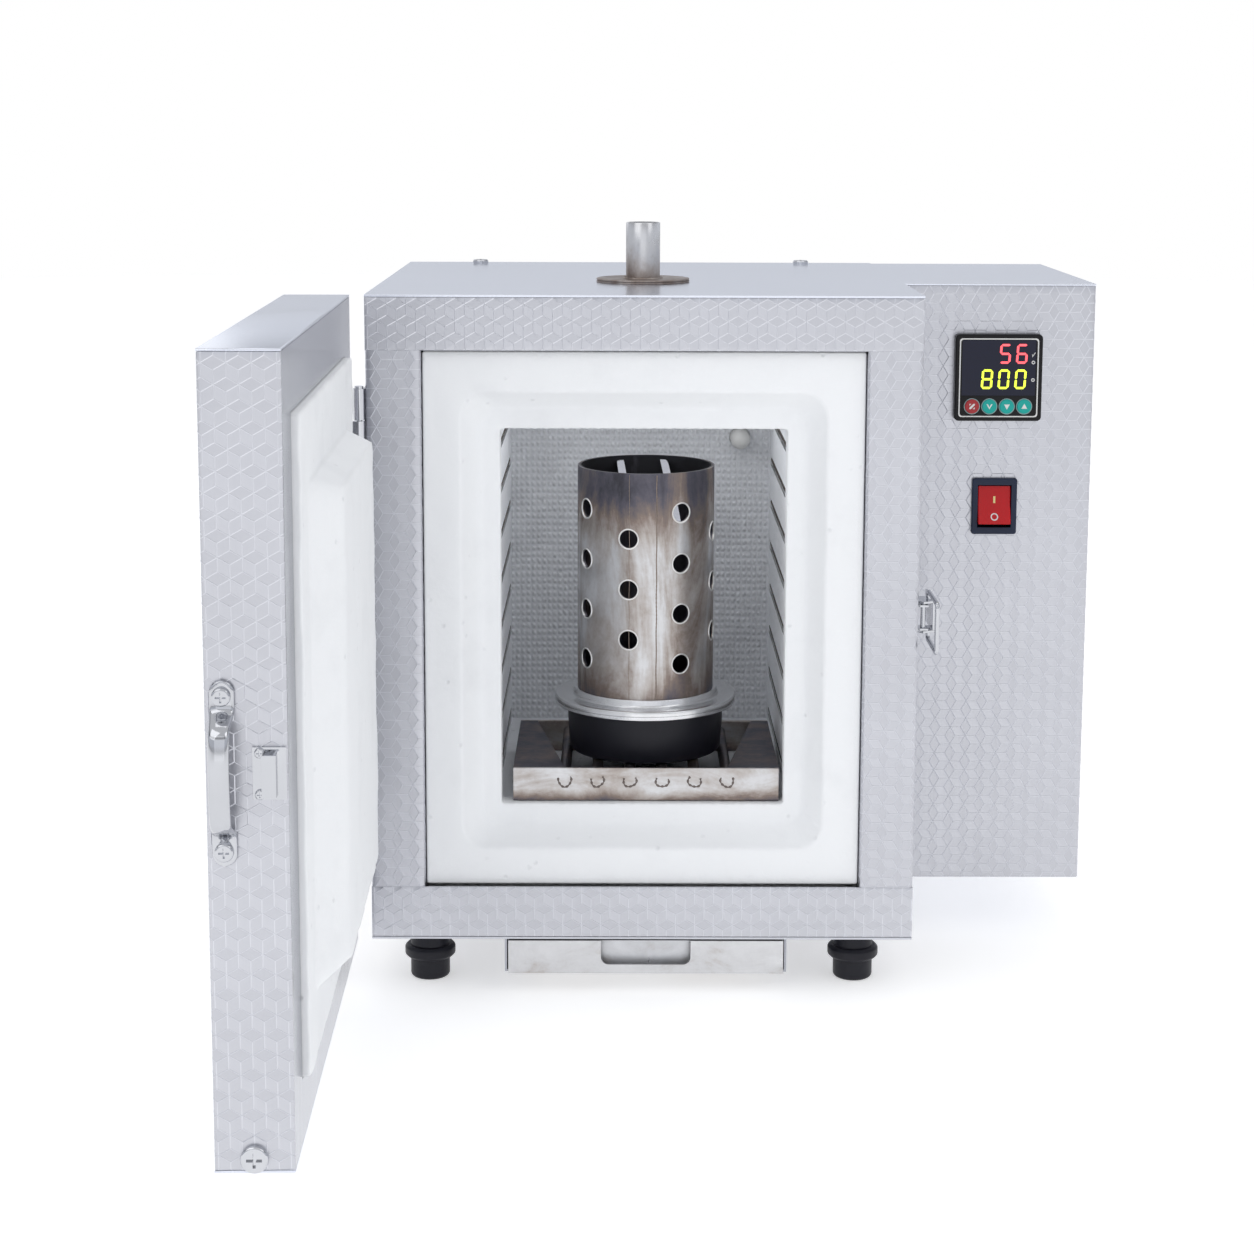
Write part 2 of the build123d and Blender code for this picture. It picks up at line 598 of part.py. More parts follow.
# ---------------------------------------------------------------- control box and its instruments
def make_controls():
    x = (half_w, half_w + box_w)
    centre = half_w + panel_x
    shell = slab(x, (box_front, box_back), (box_lift, lid_z))
    shell -= slab((half_w - 1, x[1] - sheet), (box_front + sheet, box_back - sheet), (box_lift + sheet, lid_z + 1))
    half = meter_body / 2 + 0.2
    front = (box_front - 1, box_front + sheet + 1)
    shell -= slab((centre - half, centre + half), front, (meter_z - half, meter_z + half))
    bw, bh = rocker_body_w / 2 + 0.2, rocker_body_h / 2 + 0.2
    shell -= slab((centre - bw, centre + bw), front, (rocker_z - bh, rocker_z + bh))
    shell -= rod((centre, box_back - sheet - 1, gland_z), (centre, box_back + 1, gland_z), gland_r + 0.2)
    node["control_box_shell"] = shell
    node["control_box_cover"] = slab(x, (box_front, box_back), (lid_z, cabinet_h))

    m = meter / 2
    bezel = slab((centre - m, centre + m), (box_front - meter_proud, box_front), (meter_z - m, meter_z + m))
    bezel = fillet(bezel.edges().filter_by(Axis.Y), 2.5)
    bezel = fillet(bezel.edges().group_by(Axis.Y)[0], 0.8)
    b = meter_body / 2
    case = bezel + slab((centre - b, centre + b), (box_front, box_front + meter_depth), (meter_z - b, meter_z + b))
    face = box_front - meter_proud
    wx = (centre - window_w / 2, centre + window_w / 2)
    wz = (meter_z + window_up - window_h / 2, meter_z + window_up + window_h / 2)
    case -= slab(wx, (face - 1, face + window_t), wz)
    node["controller_window"] = slab(wx, (face + 0.2, face + window_t), wz)
    for i in range(4):
        kx, kz = centre + (i - 1.5) * key_pitch, meter_z - key_drop
        case -= rod((kx, face - 1, kz), (kx, face + key_h + 0.6, kz), key_r + key_gap)
        key = rod((kx, face - key_proud, kz), (kx, face - key_proud + key_h, kz), key_r)
        node[f"key_{i + 1}"] = fillet(key.edges().group_by(Axis.Y)[0], 0.5)
    node["controller_case"] = case

    fw, fh = rocker_frame_w / 2, rocker_frame_h / 2
    lip = slab((centre - fw, centre + fw), (box_front - rocker_proud, box_front), (rocker_z - fh, rocker_z + fh))
    lip = fillet(lip.edges().filter_by(Axis.Y), 1.5)
    lip = fillet(lip.edges().group_by(Axis.Y)[0], 0.8)
    bw, bh = rocker_body_w / 2, rocker_body_h / 2
    housing = lip + slab((centre - bw, centre + bw), (box_front, box_front + 18), (rocker_z - bh, rocker_z + bh))
    cw, ch = rocker_w / 2 + rocker_side_gap, rocker_h / 2 + rocker_end_gap
    housing -= slab((centre - cw, centre + cw), (box_front - 9, box_front + 15), (rocker_z - ch, rocker_z + ch))
    node["rocker_frame"] = housing
    pivot = box_front + 1.5
    h = rocker_h / 2
    at = Plane(origin=(centre - rocker_w / 2, pivot, rocker_z), x_dir=(0, 1, 0), z_dir=(1, 0, 0))
    outline = [(-4.5, -h), (-3.1, 0), (-4.5, h), (1.5, h - 3), (3.0, 0), (1.5, 3 - h)]
    rocker = extrude(at * make_face(Polyline(*outline, close=True)), rocker_w)
    node["rocker"] = rocker.rotate(Axis((centre, pivot, rocker_z), (1, 0, 0)), -rocker_tilt)

    relay = slab((half_w, half_w + 23), (200, 245), (140, 198))
    for dy in (-12, 12):
        for z in (147, 191):
            relay -= rod((half_w + 17, 222.5 + dy, z), (half_w + 24, 222.5 + dy, z), 4)
    node["solid_state_relay"] = relay
    strip = slab((half_w, half_w + 16), (150, 210), (40, 58))
    for i in range(5):
        strip -= rod((half_w + 8, 156 + i * 12, 49), (half_w + 17, 156 + i * 12, 49), 3)
    node["terminal_block"] = strip

    gland = rod((centre, box_back - 12, gland_z), (centre, box_back, gland_z), gland_r)
    for y, depth in ((box_back, 7), (box_back - sheet - 4, 4)):
        at = Plane(origin=(centre, y, gland_z), z_dir=(0, 1, 0))
        gland += extrude(at * RegularPolygon(9, 6), depth)
    gland += Plane(origin=(centre, box_back + 7, gland_z), z_dir=(0, 1, 0)) * Cone(
        8, 5.5, 9, align=(Align.CENTER, Align.CENTER, Align.MIN))
    node["cable_gland"] = gland - rod((centre, 0, gland_z), (centre, box_back + 20, gland_z), gland_bore_r)


make_casing()
make_lining()
make_flue()
make_underside()
make_load()
make_door()
make_hinges()
make_latch()
make_controls()

whole = group(node.values()).bounding_box()
origin = Vector((whole.min.X + whole.max.X) / 2, (whole.min.Y + whole.max.Y) / 2, whole.min.Z)
os.makedirs("parts", exist_ok=True)
for name, shape in node.items():
    export_step(Pos(-origin.X, -origin.Y, -origin.Z) * shape, f"parts/{name}.step")
print(f"{len(node)} nodes, origin at {origin.X:.3f} {origin.Y:.3f} {origin.Z:.3f}, size {whole.size}")
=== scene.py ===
import json
import math

import bmesh
import bpy
import numpy as np
from mathutils import Matrix, Vector


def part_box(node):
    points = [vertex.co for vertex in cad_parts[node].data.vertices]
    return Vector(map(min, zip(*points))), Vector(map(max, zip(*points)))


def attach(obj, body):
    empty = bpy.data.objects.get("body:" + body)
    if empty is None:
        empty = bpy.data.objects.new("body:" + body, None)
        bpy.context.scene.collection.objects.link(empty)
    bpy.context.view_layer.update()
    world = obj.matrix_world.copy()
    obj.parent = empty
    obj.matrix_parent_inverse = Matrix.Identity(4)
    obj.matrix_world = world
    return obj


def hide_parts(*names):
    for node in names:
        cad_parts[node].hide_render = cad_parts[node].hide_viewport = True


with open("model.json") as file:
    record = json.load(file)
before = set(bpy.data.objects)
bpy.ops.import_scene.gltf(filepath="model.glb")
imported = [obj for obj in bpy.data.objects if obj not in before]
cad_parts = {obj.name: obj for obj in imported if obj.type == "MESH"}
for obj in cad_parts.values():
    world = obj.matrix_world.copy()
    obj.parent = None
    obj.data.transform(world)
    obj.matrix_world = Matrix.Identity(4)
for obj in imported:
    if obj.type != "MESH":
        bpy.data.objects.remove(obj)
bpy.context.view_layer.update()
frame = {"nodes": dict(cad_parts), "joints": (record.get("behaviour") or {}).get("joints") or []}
mm = 0.001

# The cabinet's own millimetres: x from its middle, y from its front face, z from its underside
topLow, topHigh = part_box("top_cover")
home = np.array([(topLow.x + topHigh.x) / 2, topLow.y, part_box("base_pan")[0].z])


def nodeBox(node):
    # A CAD node's lowest and highest corners in the cabinet's millimetres.
    low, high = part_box(node)
    return (np.array(low) - home) / mm, (np.array(high) - home) / mm


cabinet = {"w": (topHigh.x - topLow.x) / mm, "d": (topHigh.y - topLow.y) / mm,
           "h": nodeBox("top_cover")[1][2]}
swing = next(j for j in frame["joints"] if j["name"] == "door_swing")
hinge = {"pin": (np.array(swing["pos_m"]) - home) / mm, "open": math.radians(-swing["range_deg"][0])}
print("frame loaded, cabinet", cabinet)


# Shapes worked out as whole arrays
def around(count):
    # Evenly spaced angles of a whole turn.
    return np.linspace(0, 2 * math.pi, count, endpoint=False)


def hangDoor(points):
    # Turns points drawn for the shut door about the hinge pin to where the door stands open.
    c, s = math.cos(hinge["open"]), math.sin(hinge["open"])
    dx, dy = points[..., 0] - hinge["pin"][0], points[..., 1] - hinge["pin"][1]
    turned = [hinge["pin"][0] + dx * c + dy * s, hinge["pin"][1] - dx * s + dy * c, points[..., 2]]
    return np.stack(turned, -1)


def ripple(points, size, height, seed):
    # Smooth unevenness: a sum of sine waves in fixed random directions, about size apart and height high.
    rng = np.random.default_rng(seed)
    total = np.zeros(points.shape[:-1])
    for i in range(9):
        way = rng.normal(size=3)
        way *= 2 * math.pi / (size * rng.uniform(0.6, 1.7)) / np.linalg.norm(way)
        total += np.sin(points @ way + rng.uniform(0, 6.28))
    return total * height / 3


def gridFaces(rows, cols, closeRows=False, closeCols=False):
    # Quads of a grid of rows by cols points, joined end to end where asked.
    r = np.arange(rows if closeRows else rows - 1)[:, None]
    c = np.arange(cols if closeCols else cols - 1)[None, :]
    r2, c2 = (r + 1) % rows, (c + 1) % cols
    quads = np.stack([r * cols + c, r * cols + c2, r2 * cols + c2, r2 * cols + c], -1)
    return quads.reshape(-1, 4).tolist()


def ringShell(rings, closeRows=False):
    # A shell through rings of points, shape (rings, points, 3); its end rings are capped unless it closes
    # on itself.
    rows, cols = rings.shape[:2]
    faces = gridFaces(rows, cols, closeRows, True)
    if not closeRows:
        faces.append(list(range(cols))[::-1])
        faces.append(list(range((rows - 1) * cols, rows * cols)))
    return rings.reshape(-1, 3), faces


def roundRect(halfW, halfH, radius, corner=8, side=24):
    # A rounded rectangle about (0, 0): quarter circles joined by straight sides with evenly spaced points.
    a = np.linspace(0, math.pi / 2, corner)
    parts = []
    for k, (sx, sy) in enumerate(((1, 1), (-1, 1), (-1, -1), (1, -1))):
        t = a + k * math.pi / 2
        arc = np.stack([sx * (halfW - radius) + radius * np.cos(t),
                        sy * (halfH - radius) + radius * np.sin(t)], -1)
        nextAt = [(-1, 1), (-1, -1), (1, -1), (1, 1)][k]
        t2 = (k + 1) * math.pi / 2
        start = np.array([nextAt[0] * (halfW - radius) + radius * math.cos(t2),
                          nextAt[1] * (halfH - radius) + radius * math.sin(t2)])
        f = np.linspace(0, 1, side + 2)[1:-1, None]
        parts += [arc, arc[-1] * (1 - f) + start * f]
    return np.concatenate(parts)


def lathe(profile, centre, segments, closed=False):
    # Turns a profile of (radius, height) points about an upright axis through centre.
    p = np.array(profile, float)
    a = around(segments)
    r, height = p[:, None, 0], np.broadcast_to(p[:, None, 1], (len(p), segments))
    return ringShell(np.stack([r * np.cos(a), r * np.sin(a), height], -1) + np.array(centre), closed)


def arcPoints(centre, radius, start, end, count=5):
    # Points of a circular arc, with its angles in degrees.
    t = np.radians(np.linspace(start, end, count))
    return [(centre[0] + radius * c, centre[1] + radius * s) for c, s in zip(np.cos(t), np.sin(t))]


def carry(path, profile, up):
    # A closed profile carried along a path: x of the profile lies across the path, y along up.
    path = np.asarray(path, float)
    ahead = np.gradient(path, axis=0)
    ahead /= np.linalg.norm(ahead, axis=1, keepdims=True)
    side = np.cross(ahead, np.broadcast_to(np.array(up, float), path.shape))
    side /= np.linalg.norm(side, axis=1, keepdims=True)
    over = np.cross(side, ahead)
    profile = np.asarray(profile, float)
    rings = path[:, None] + side[:, None] * profile[None, :, :1] + over[:, None] * profile[None, :, 1:2]
    return ringShell(rings)


def circle(radius, count=10):
    t = around(count)
    return np.stack([radius * np.cos(t), radius * np.sin(t)], -1)


def weldBead(path, radius, lump):
    # A round bead along a path, thicker and thinner as lump says.
    points, faces = carry(path, circle(radius, 6), (0, 1, 0))
    points = path[:, None] + (points.reshape(len(path), 6, 3) - path[:, None]) * lump[:, None, None]
    return points.reshape(-1, 3), faces


def torus(centre, major, minor, axis="y", flat=1.0, count=28, sides=8):
    # A ring about the y or z axis; flat squashes its thickness along its axis.
    a, b = around(count)[:, None], around(sides)[None, :]
    u, v = (major + minor * np.cos(b)) * np.cos(a), (major + minor * np.cos(b)) * np.sin(a)
    w = np.broadcast_to(minor * flat * np.sin(b), u.shape)
    order = {"z": (u, v, w), "y": (u, w, v)}[axis]
    return ringShell(np.stack(order, -1) + np.array(centre), True)


def block(low, high):
    # A plain block, for pieces that only show an edge.
    low, high = np.array(low, float), np.array(high, float)
    ring = np.array([(0, 0), (1, 0), (1, 1), (0, 1)], float)
    rings = np.stack([np.column_stack([ring, np.full(4, z)]) for z in (0.0, 1.0)])
    return ringShell(low + rings * (high - low))


def prism(outline, low, high):
    # A flat figure in x and z, thickened along y from low to high.
    o = np.asarray(outline, float)
    rings = np.stack([np.stack([o[:, 0], np.full(len(o), y), o[:, 1]], -1) for y in (low, high)])
    return ringShell(rings)


def together(shells):
    # Several shells as the points and faces of one piece.
    points, faces, count = [], [], 0
    for p, f in shells:
        points.append(p)
        faces += [[i + count for i in face] for face in f]
        count += len(p)
    return np.concatenate(points), faces


def faceOutwards(mesh):
    bm = bmesh.new()
    bm.from_mesh(mesh)
    bmesh.ops.recalc_face_normals(bm, faces=bm.faces)
    bm.to_mesh(mesh)
    bm.free()


def addPiece(name, shell, body, material, replaces=(), onDoor=False, sharp=35):
    # Makes the mesh in place, its normals outward, and lets it ride on its body.
    points, faces = shell
    if onDoor:
        points = hangDoor(points)
    mesh = bpy.data.meshes.new(name)
    mesh.from_pydata((np.asarray(points) * mm + home).tolist(), [], faces)
    faceOutwards(mesh)
    return finishPiece(name, mesh, body, material, replaces, sharp)


flatFrom = 0.0004  # faces larger than this, in square metres, are shaded flat and take the light evenly


def finishPiece(name, mesh, body, material, replaces=(), sharp=35, smooth=True):
    if smooth:
        area = np.empty(len(mesh.polygons))
        mesh.polygons.foreach_get("area", area)
        mesh.polygons.foreach_set("use_smooth", area < flatFrom)
    mesh.set_sharp_from_angle(angle=math.radians(sharp))
    mesh.materials.append(material)
    piece = bpy.data.objects.new(name, mesh)
    bpy.context.scene.collection.objects.link(piece)
    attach(piece, body)
    if replaces:
        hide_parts(*replaces)
    return piece


def soften(node, name, width, material, body, segments=2, angle=30):
    # A merged copy of a CAD node with its sharp edges rounded by width, standing for the node.
    bm = bmesh.new()
    bm.from_mesh(frame["nodes"][node].data)
    bmesh.ops.remove_doubles(bm, verts=bm.verts, dist=0.000002)
    bmesh.ops.dissolve_limit(bm, angle_limit=math.radians(0.5), verts=bm.verts, edges=bm.edges)
    for face in bm.faces:  # only curved faces and the rounded edges are shaded smooth
        face.smooth = any(0.01 < e.calc_face_angle(0) < math.radians(angle)
                          for e in face.edges if e.is_manifold)
    hard = [e for e in bm.edges if e.is_manifold and e.calc_face_angle(0) > math.radians(angle)]
    bmesh.ops.bevel(bm, geom=hard, offset=width * mm, segments=segments, profile=0.5, affect="EDGES",
                    clamp_overlap=True)
    for face in bm.faces:
        longest = max(e.calc_length() for e in face.edges)
        face.smooth = face.smooth or face.calc_area() < longest * width * mm * 1.2
    mesh = bpy.data.meshes.new(name)
    bm.to_mesh(mesh)
    bm.free()
    return finishPiece(name, mesh, body, material, (node,), 20, smooth=False)


# Embossed sheet: tumbling blocks, pressed as fine raised lines
emboss = {"star": 10.1, "line": 0.22, "height": 0.10}


def blockPattern(width, height, turned):
    # Rhombi over a rectangle: each lattice edge with the centres of its two triangles makes one rhombus.
    # Every rhombus is a flat inner quad with four quads sloping up to the raised line round it.
    d = emboss["star"]
    spanU, spanV = (height, width) if turned else (width, height)
    rows, cols = int(spanV / (d * 0.866)) + 4, int(spanU / d) + 4
    j, i = np.meshgrid(np.arange(-2, rows), np.arange(-2, cols), indexing="ij")
    start = np.stack([i * d + (j % 2) * d / 2, j * d * 0.8660254], -1).reshape(-1, 2)
    quads, facets = [], []
    for k, angle in enumerate((0, 60, 120)):
        way = np.array([math.cos(math.radians(angle)), math.sin(math.radians(angle))])
        off = np.array([-way[1], way[0]]) * d / (2 * math.sqrt(3))
        middle = start + way * d / 2
        quads.append(np.stack([start, middle - off, start + way * d, middle + off], 1))
        facets.append(np.full(len(start), k))
    outer, facet = np.concatenate(quads), np.concatenate(facets)
    shrink = 1 - emboss["line"] / (d * 0.25)
    inner = outer.mean(1, keepdims=True) * (1 - shrink) + outer * shrink
    flat = np.concatenate([outer, inner], 1)
    level = np.zeros(flat.shape[:2])
    level[:, 4:] = -emboss["height"]
    points = np.dstack([flat, level]).reshape(-1, 3)
    if turned:
        points = points[:, [1, 0, 2]]
    pick = np.array([[4, 5, 6, 7], [0, 1, 5, 4], [1, 2, 6, 5], [2, 3, 7, 6], [3, 0, 4, 7]])
    faces = (np.arange(len(outer))[:, None, None] * 8 + pick).reshape(-1, 4)
    return points, faces, np.repeat(facet, 5) + np.tile([0, 4, 4, 4, 4], len(outer))


def foldLine(corners, radius):
    # A plan line through corners with rounded bends: a list of stretches (start length, end length, kind,
    # data).
    corners = [np.array(c, float) for c in corners]
    stretches, at, here = [], 0.0, corners[0]
    for k in range(1, len(corners)):
        way = corners[k] - corners[k - 1]
        way /= np.linalg.norm(way)
        if k == len(corners) - 1:
            length = np.linalg.norm(corners[k] - here)
            stretches.append((at, at + length, "straight", here, way))
            at += length
            break
        onward = corners[k + 1] - corners[k]
        onward /= np.linalg.norm(onward)
        length = np.linalg.norm(corners[k] - here) - radius
        stretches.append((at, at + length, "straight", here, way))
        at += length
        here = here + way * length
        turn = 1.0 if way[0] * onward[1] - way[1] * onward[0] > 0 else -1.0
        centre = here + np.array([-way[1], way[0]]) * turn * radius
        arc = radius * math.pi / 2
        stretches.append((at, at + arc, "bend", centre, here - centre, turn))
        at += arc
        here = corners[k] + onward * radius
    return stretches


def foldPoints(stretches, u, out):
    # Plan points at developed length u, pushed out by out to the right of the way the line runs.
    xy, push = np.zeros((len(u), 2)), np.zeros((len(u), 2))
    for s in stretches:
        here = (u >= s[0] - 1e-6) & (u <= s[1] + 1e-6)
        t = np.clip(u[here], s[0], s[1]) - s[0]
        if s[2] == "straight":
            xy[here] = s[3] + t[:, None] * s[4]
            push[here] = np.array([s[4][1], -s[4][0]])
        else:
            a = t / (s[1] - s[0]) * math.pi / 2 * s[5]
            c, q = np.cos(a), np.sin(a)
            arm = s[4]
            turned = np.stack([arm[0] * c - arm[1] * q, arm[0] * q + arm[1] * c], -1)
            xy[here] = s[3] + turned
            push[here] = turned / np.linalg.norm(arm) * s[5]
    return xy + push * out[:, None]


def cut(bm, at, way, clear=False):
    # Cuts a mesh by the plane through at and square to way; what lies beyond it can be cleared.
    bmesh.ops.bisect_plane(bm, geom=bm.verts[:] + bm.edges[:] + bm.faces[:], dist=0.0005, plane_co=at,
                           plane_no=way, clear_outer=clear)


def embossedMesh(name, width, height, cuts, thick, turned, holes=(), rim=0.6):
    # One sheet laid flat: the pattern cut to a rectangle, holes cut out, its rim rounded and its back closed
    points, faces, facet = blockPattern(width, height, turned)
    flat = bpy.data.meshes.new(name)
    flat.from_pydata((points - [0.35 * emboss["star"], 0.2 * emboss["star"], 0]).tolist(), [], faces.tolist())
    # facet numbers the way each rhombus lies and marks the sloping line quads; the sheet material paints
    # shade and a highlight from it
    flat.attributes.new("facet", "FLOAT", "FACE").data.foreach_set("value", facet.astype(np.float32))
    bm = bmesh.new()
    bm.from_mesh(flat)
    bmesh.ops.remove_doubles(bm, verts=bm.verts, dist=0.01)
    for at, out in (((rim, 0, 0), (-1, 0, 0)), ((width - rim, 0, 0), (1, 0, 0)),
                    ((0, rim, 0), (0, -1, 0)), ((0, height - rim, 0), (0, 1, 0))):
        cut(bm, at, out, True)
    for u in cuts:
        cut(bm, (u, 0, 0), (1, 0, 0))
    middle = Matrix.Translation((-width / 2, -height / 2, 0))
    edges = [e for e in bm.edges if e.is_boundary]
    inside = []
    for lowU, highU, lowV, highV in holes:
        for at, way in (((lowU, 0, 0), (1, 0, 0)), ((highU, 0, 0), (1, 0, 0)), ((0, lowV, 0), (0, 1, 0)),
                        ((0, highV, 0), (0, 1, 0))):
            cut(bm, at, way)
        gone = []
        for face in bm.faces:
            c = face.calc_center_median()
            if lowU < c.x < highU and lowV < c.y < highV:
                gone.append(face)
        bmesh.ops.delete(bm, geom=gone, context="FACES")
    if holes:
        border = [e for e in bm.edges if e.is_boundary]
        edges = [e for e in border if not onHole(e, holes)]
        made = bmesh.ops.extrude_edge_only(bm, edges=[e for e in border if onHole(e, holes)])["geom"]
        bmesh.ops.translate(bm, verts=[g for g in made if isinstance(g, bmesh.types.BMVert)],
                            vec=(0, 0, -thick))
        inside = [g for g in made if isinstance(g, bmesh.types.BMEdge) and g.is_boundary]
    size = (width / 2 - rim, height / 2 - rim)
    grown, sunk = 0.0, 0.0
    for angle in (30, 60, 90, None):
        made = bmesh.ops.extrude_edge_only(bm, edges=edges)["geom"]
        verts = [g for g in made if isinstance(g, bmesh.types.BMVert)]
        edges = [g for g in made if isinstance(g, bmesh.types.BMEdge) and g.is_boundary]
        if angle is None:
            bmesh.ops.translate(bm, verts=verts, vec=(0, 0, -(thick - sunk)))
            break
        out, deep = rim * math.sin(math.radians(angle)), rim * (1 - math.cos(math.radians(angle)))
        factor = ((size[0] + out) / (size[0] + grown), (size[1] + out) / (size[1] + grown), 1)
        bmesh.ops.scale(bm, verts=verts, vec=factor, space=middle)
        bmesh.ops.translate(bm, verts=verts, vec=(0, 0, sunk - deep))
        grown, sunk = out, deep
    bottom = list({v for e in edges + inside for v in e.verts})
    level = Matrix.Translation((0, 0, thick))
    bmesh.ops.scale(bm, verts=bottom, vec=(1, 1, 0), space=level)  # all on the back face's level
    bmesh.ops.triangle_fill(bm, edges=edges + inside, use_beauty=True, use_dissolve=False)
    for u in cuts:
        cut(bm, (u, 0, 0), (1, 0, 0))
    bmesh.ops.recalc_face_normals(bm, faces=bm.faces)
    bm.to_mesh(flat)
    bm.free()
    return flat


def onHole(edge, holes):
    c = (edge.verts[0].co + edge.verts[1].co) / 2
    return any(h[0] - 0.01 < c.x < h[1] + 0.01 and h[2] - 0.01 < c.y < h[3] + 0.01 for h in holes)


def embossedSheet(name, corners, low, high, thick, body, material, replaces, turned=False, bend=2.0,
                  onDoor=False, holes=()):
    # A sheet folded along a plan line and standing from low to high, its pattern on the right of the line;
    # a hole is (start length, end length, start height, end height)
    stretches = foldLine(corners, bend)
    width, height = stretches[-1][1], high - low
    cuts = [s[0] + (s[1] - s[0]) * f for s in stretches if s[2] == "bend" for f in (0, 0.25, 0.5, 0.75, 1)]
    mesh = embossedMesh(name, width, height, cuts, thick, turned, holes)
    co = np.zeros(len(mesh.vertices) * 3, np.float32)
    mesh.vertices.foreach_get("co", co)
    co = co.reshape(-1, 3).astype(float)
    plan = foldPoints(stretches, np.clip(co[:, 0], 0, width), co[:, 2])
    points = np.column_stack([plan, co[:, 1] + low])
    if onDoor:
        points = hangDoor(points)
    mesh.vertices.foreach_set("co", (points * mm + home).astype(np.float32).ravel())
    mesh.update()
    faceOutwards(mesh)
    return finishPiece(name, mesh, body, material, replaces, 20)


# Materials
def newGroup(name, inputs, outputs):
    # A shader node group with named sockets; kinds are Float, Color and Vector.
    tree = bpy.data.node_groups.new(name, "ShaderNodeTree")
    for label, kind, value in inputs:
        socket = tree.interface.new_socket(label, in_out="INPUT", socket_type="NodeSocket" + kind)
        if value is not None:
            socket.default_value = value
    for label, kind in outputs:
        tree.interface.new_socket(label, in_out="OUTPUT", socket_type="NodeSocket" + kind)
    return tree, tree.nodes.new("NodeGroupInput"), tree.nodes.new("NodeGroupOutput")


def feed(tree, node, inputs):
    # Sets a node's inputs, each to a value or to another node's output.
    for key, value in inputs.items():
        if isinstance(value, bpy.types.NodeSocket):
            tree.links.new(value, node.inputs[key])
        else:
            node.inputs[key].default_value = value
    return node


def put(tree, kind, inputs=None, **settings):
    # Adds a node and sets its properties and its inputs.
    node = tree.nodes.new(kind)
    for key, value in settings.items():
        setattr(node, key, value)
    return feed(tree, node, inputs or {})


def noise(tree, vector, scale, detail=3.0, rough=0.55, distort=0.0):
    return put(tree, "ShaderNodeTexNoise",
               {"Vector": vector, "Scale": scale, "Detail": detail, "Roughness": rough,
                "Distortion": distort}).outputs["Fac"]


def ramp(tree, value, stops):
    # A colour ramp; each stop is (place, colour).
    node = put(tree, "ShaderNodeValToRGB", {"Fac": value})
    band = node.color_ramp
    while len(band.elements) < len(stops):
        band.elements.new(0.5)
    for element, (place, colour) in zip(band.elements, stops):
        element.position = place
        element.color = (*colour, 1.0)
    return node.outputs["Color"]


def stretch(tree, value, low, high, outLow, outHigh):
    return put(tree, "ShaderNodeMapRange",
               {"Value": value, "From Min": low, "From Max": high, "To Min": outLow,
                "To Max": outHigh}).outputs["Result"]


def mixColour(tree, factor, a, b):
    node = put(tree, "ShaderNodeMix", {0: factor, 6: (*a, 1.0), 7: (*b, 1.0)}, data_type="RGBA")
    return node.outputs[2]


def maths(tree, operation, a, b=0.0):
    return put(tree, "ShaderNodeMath", {0: a, 1: b}, operation=operation).outputs[0]


def add(tree, a, b):
    return maths(tree, "ADD", a, b)


def times(tree, a, b):
    return maths(tree, "MULTIPLY", a, b)


def makeGrainGroup():
    # Rolled sheet: cloudy tone and fine directional scratches.
    tree, given, result = newGroup("rolledGrain", [("Vector", "Vector", None), ("Scale", "Float", 1.0)],
                                   [("Tone", "Float"), ("Rough", "Float"), ("Height", "Float")])
    scaled = put(tree, "ShaderNodeVectorMath", {0: given.outputs["Vector"], "Scale": given.outputs["Scale"]},
                 operation="SCALE").outputs[0]
    cloud = noise(tree, scaled, 9.0, 4.0, 0.6)
    along = put(tree, "ShaderNodeMapping", {"Vector": scaled, "Scale": (900.0, 900.0, 14.0)}).outputs[0]
    lines = noise(tree, along, 1.0, 2.0, 0.5)
    speck = noise(tree, scaled, 420.0, 2.0, 0.7)
    feed(tree, result, {"Tone": stretch(tree, cloud, 0.3, 0.7, 0.0, 1.0),
                        "Rough": add(tree, times(tree, cloud, 0.5), times(tree, lines, 0.5)),
                        "Height": add(tree, times(tree, lines, 0.7), times(tree, speck, 0.3))})
    return tree


def makeTintGroup():
    # Heat-stained steel: straw, brown and blue bands that follow Heat, broken up by cloudy stains and
    # streaks.
    tree, given, result = newGroup(
        "heatTint", [("Vector", "Vector", None), ("Heat", "Float", 0.3), ("Stains", "Float", 0.5),
                     ("Bands", "Vector", (30.0, 30.0, 12.0))], [("Color", "Color"), ("Rough", "Float")])
    streak = put(tree, "ShaderNodeVectorMath", {0: given.outputs["Vector"], 1: given.outputs["Bands"]},
                 operation="MULTIPLY").outputs[0]
    stain = noise(tree, streak, 1.0, 6.0, 0.65, 0.6)
    fine = noise(tree, given.outputs["Vector"], 260.0, 4.0, 0.7)
    spread = times(tree, add(tree, stain, -0.5), given.outputs["Stains"])
    heat = add(tree, add(tree, given.outputs["Heat"], spread), times(tree, add(tree, fine, -0.5), 0.16))
    colour = ramp(tree, heat, [(0.0, (0.78, 0.785, 0.80)), (0.30, (0.60, 0.60, 0.61)),
                               (0.45, (0.43, 0.39, 0.365)), (0.58, (0.25, 0.20, 0.175)),
                               (0.72, (0.13, 0.125, 0.15)), (1.0, (0.04, 0.04, 0.045))])
    feed(tree, result, {"Color": colour, "Rough": stretch(tree, heat, 0.1, 0.9, 0.24, 0.55)})
    return tree


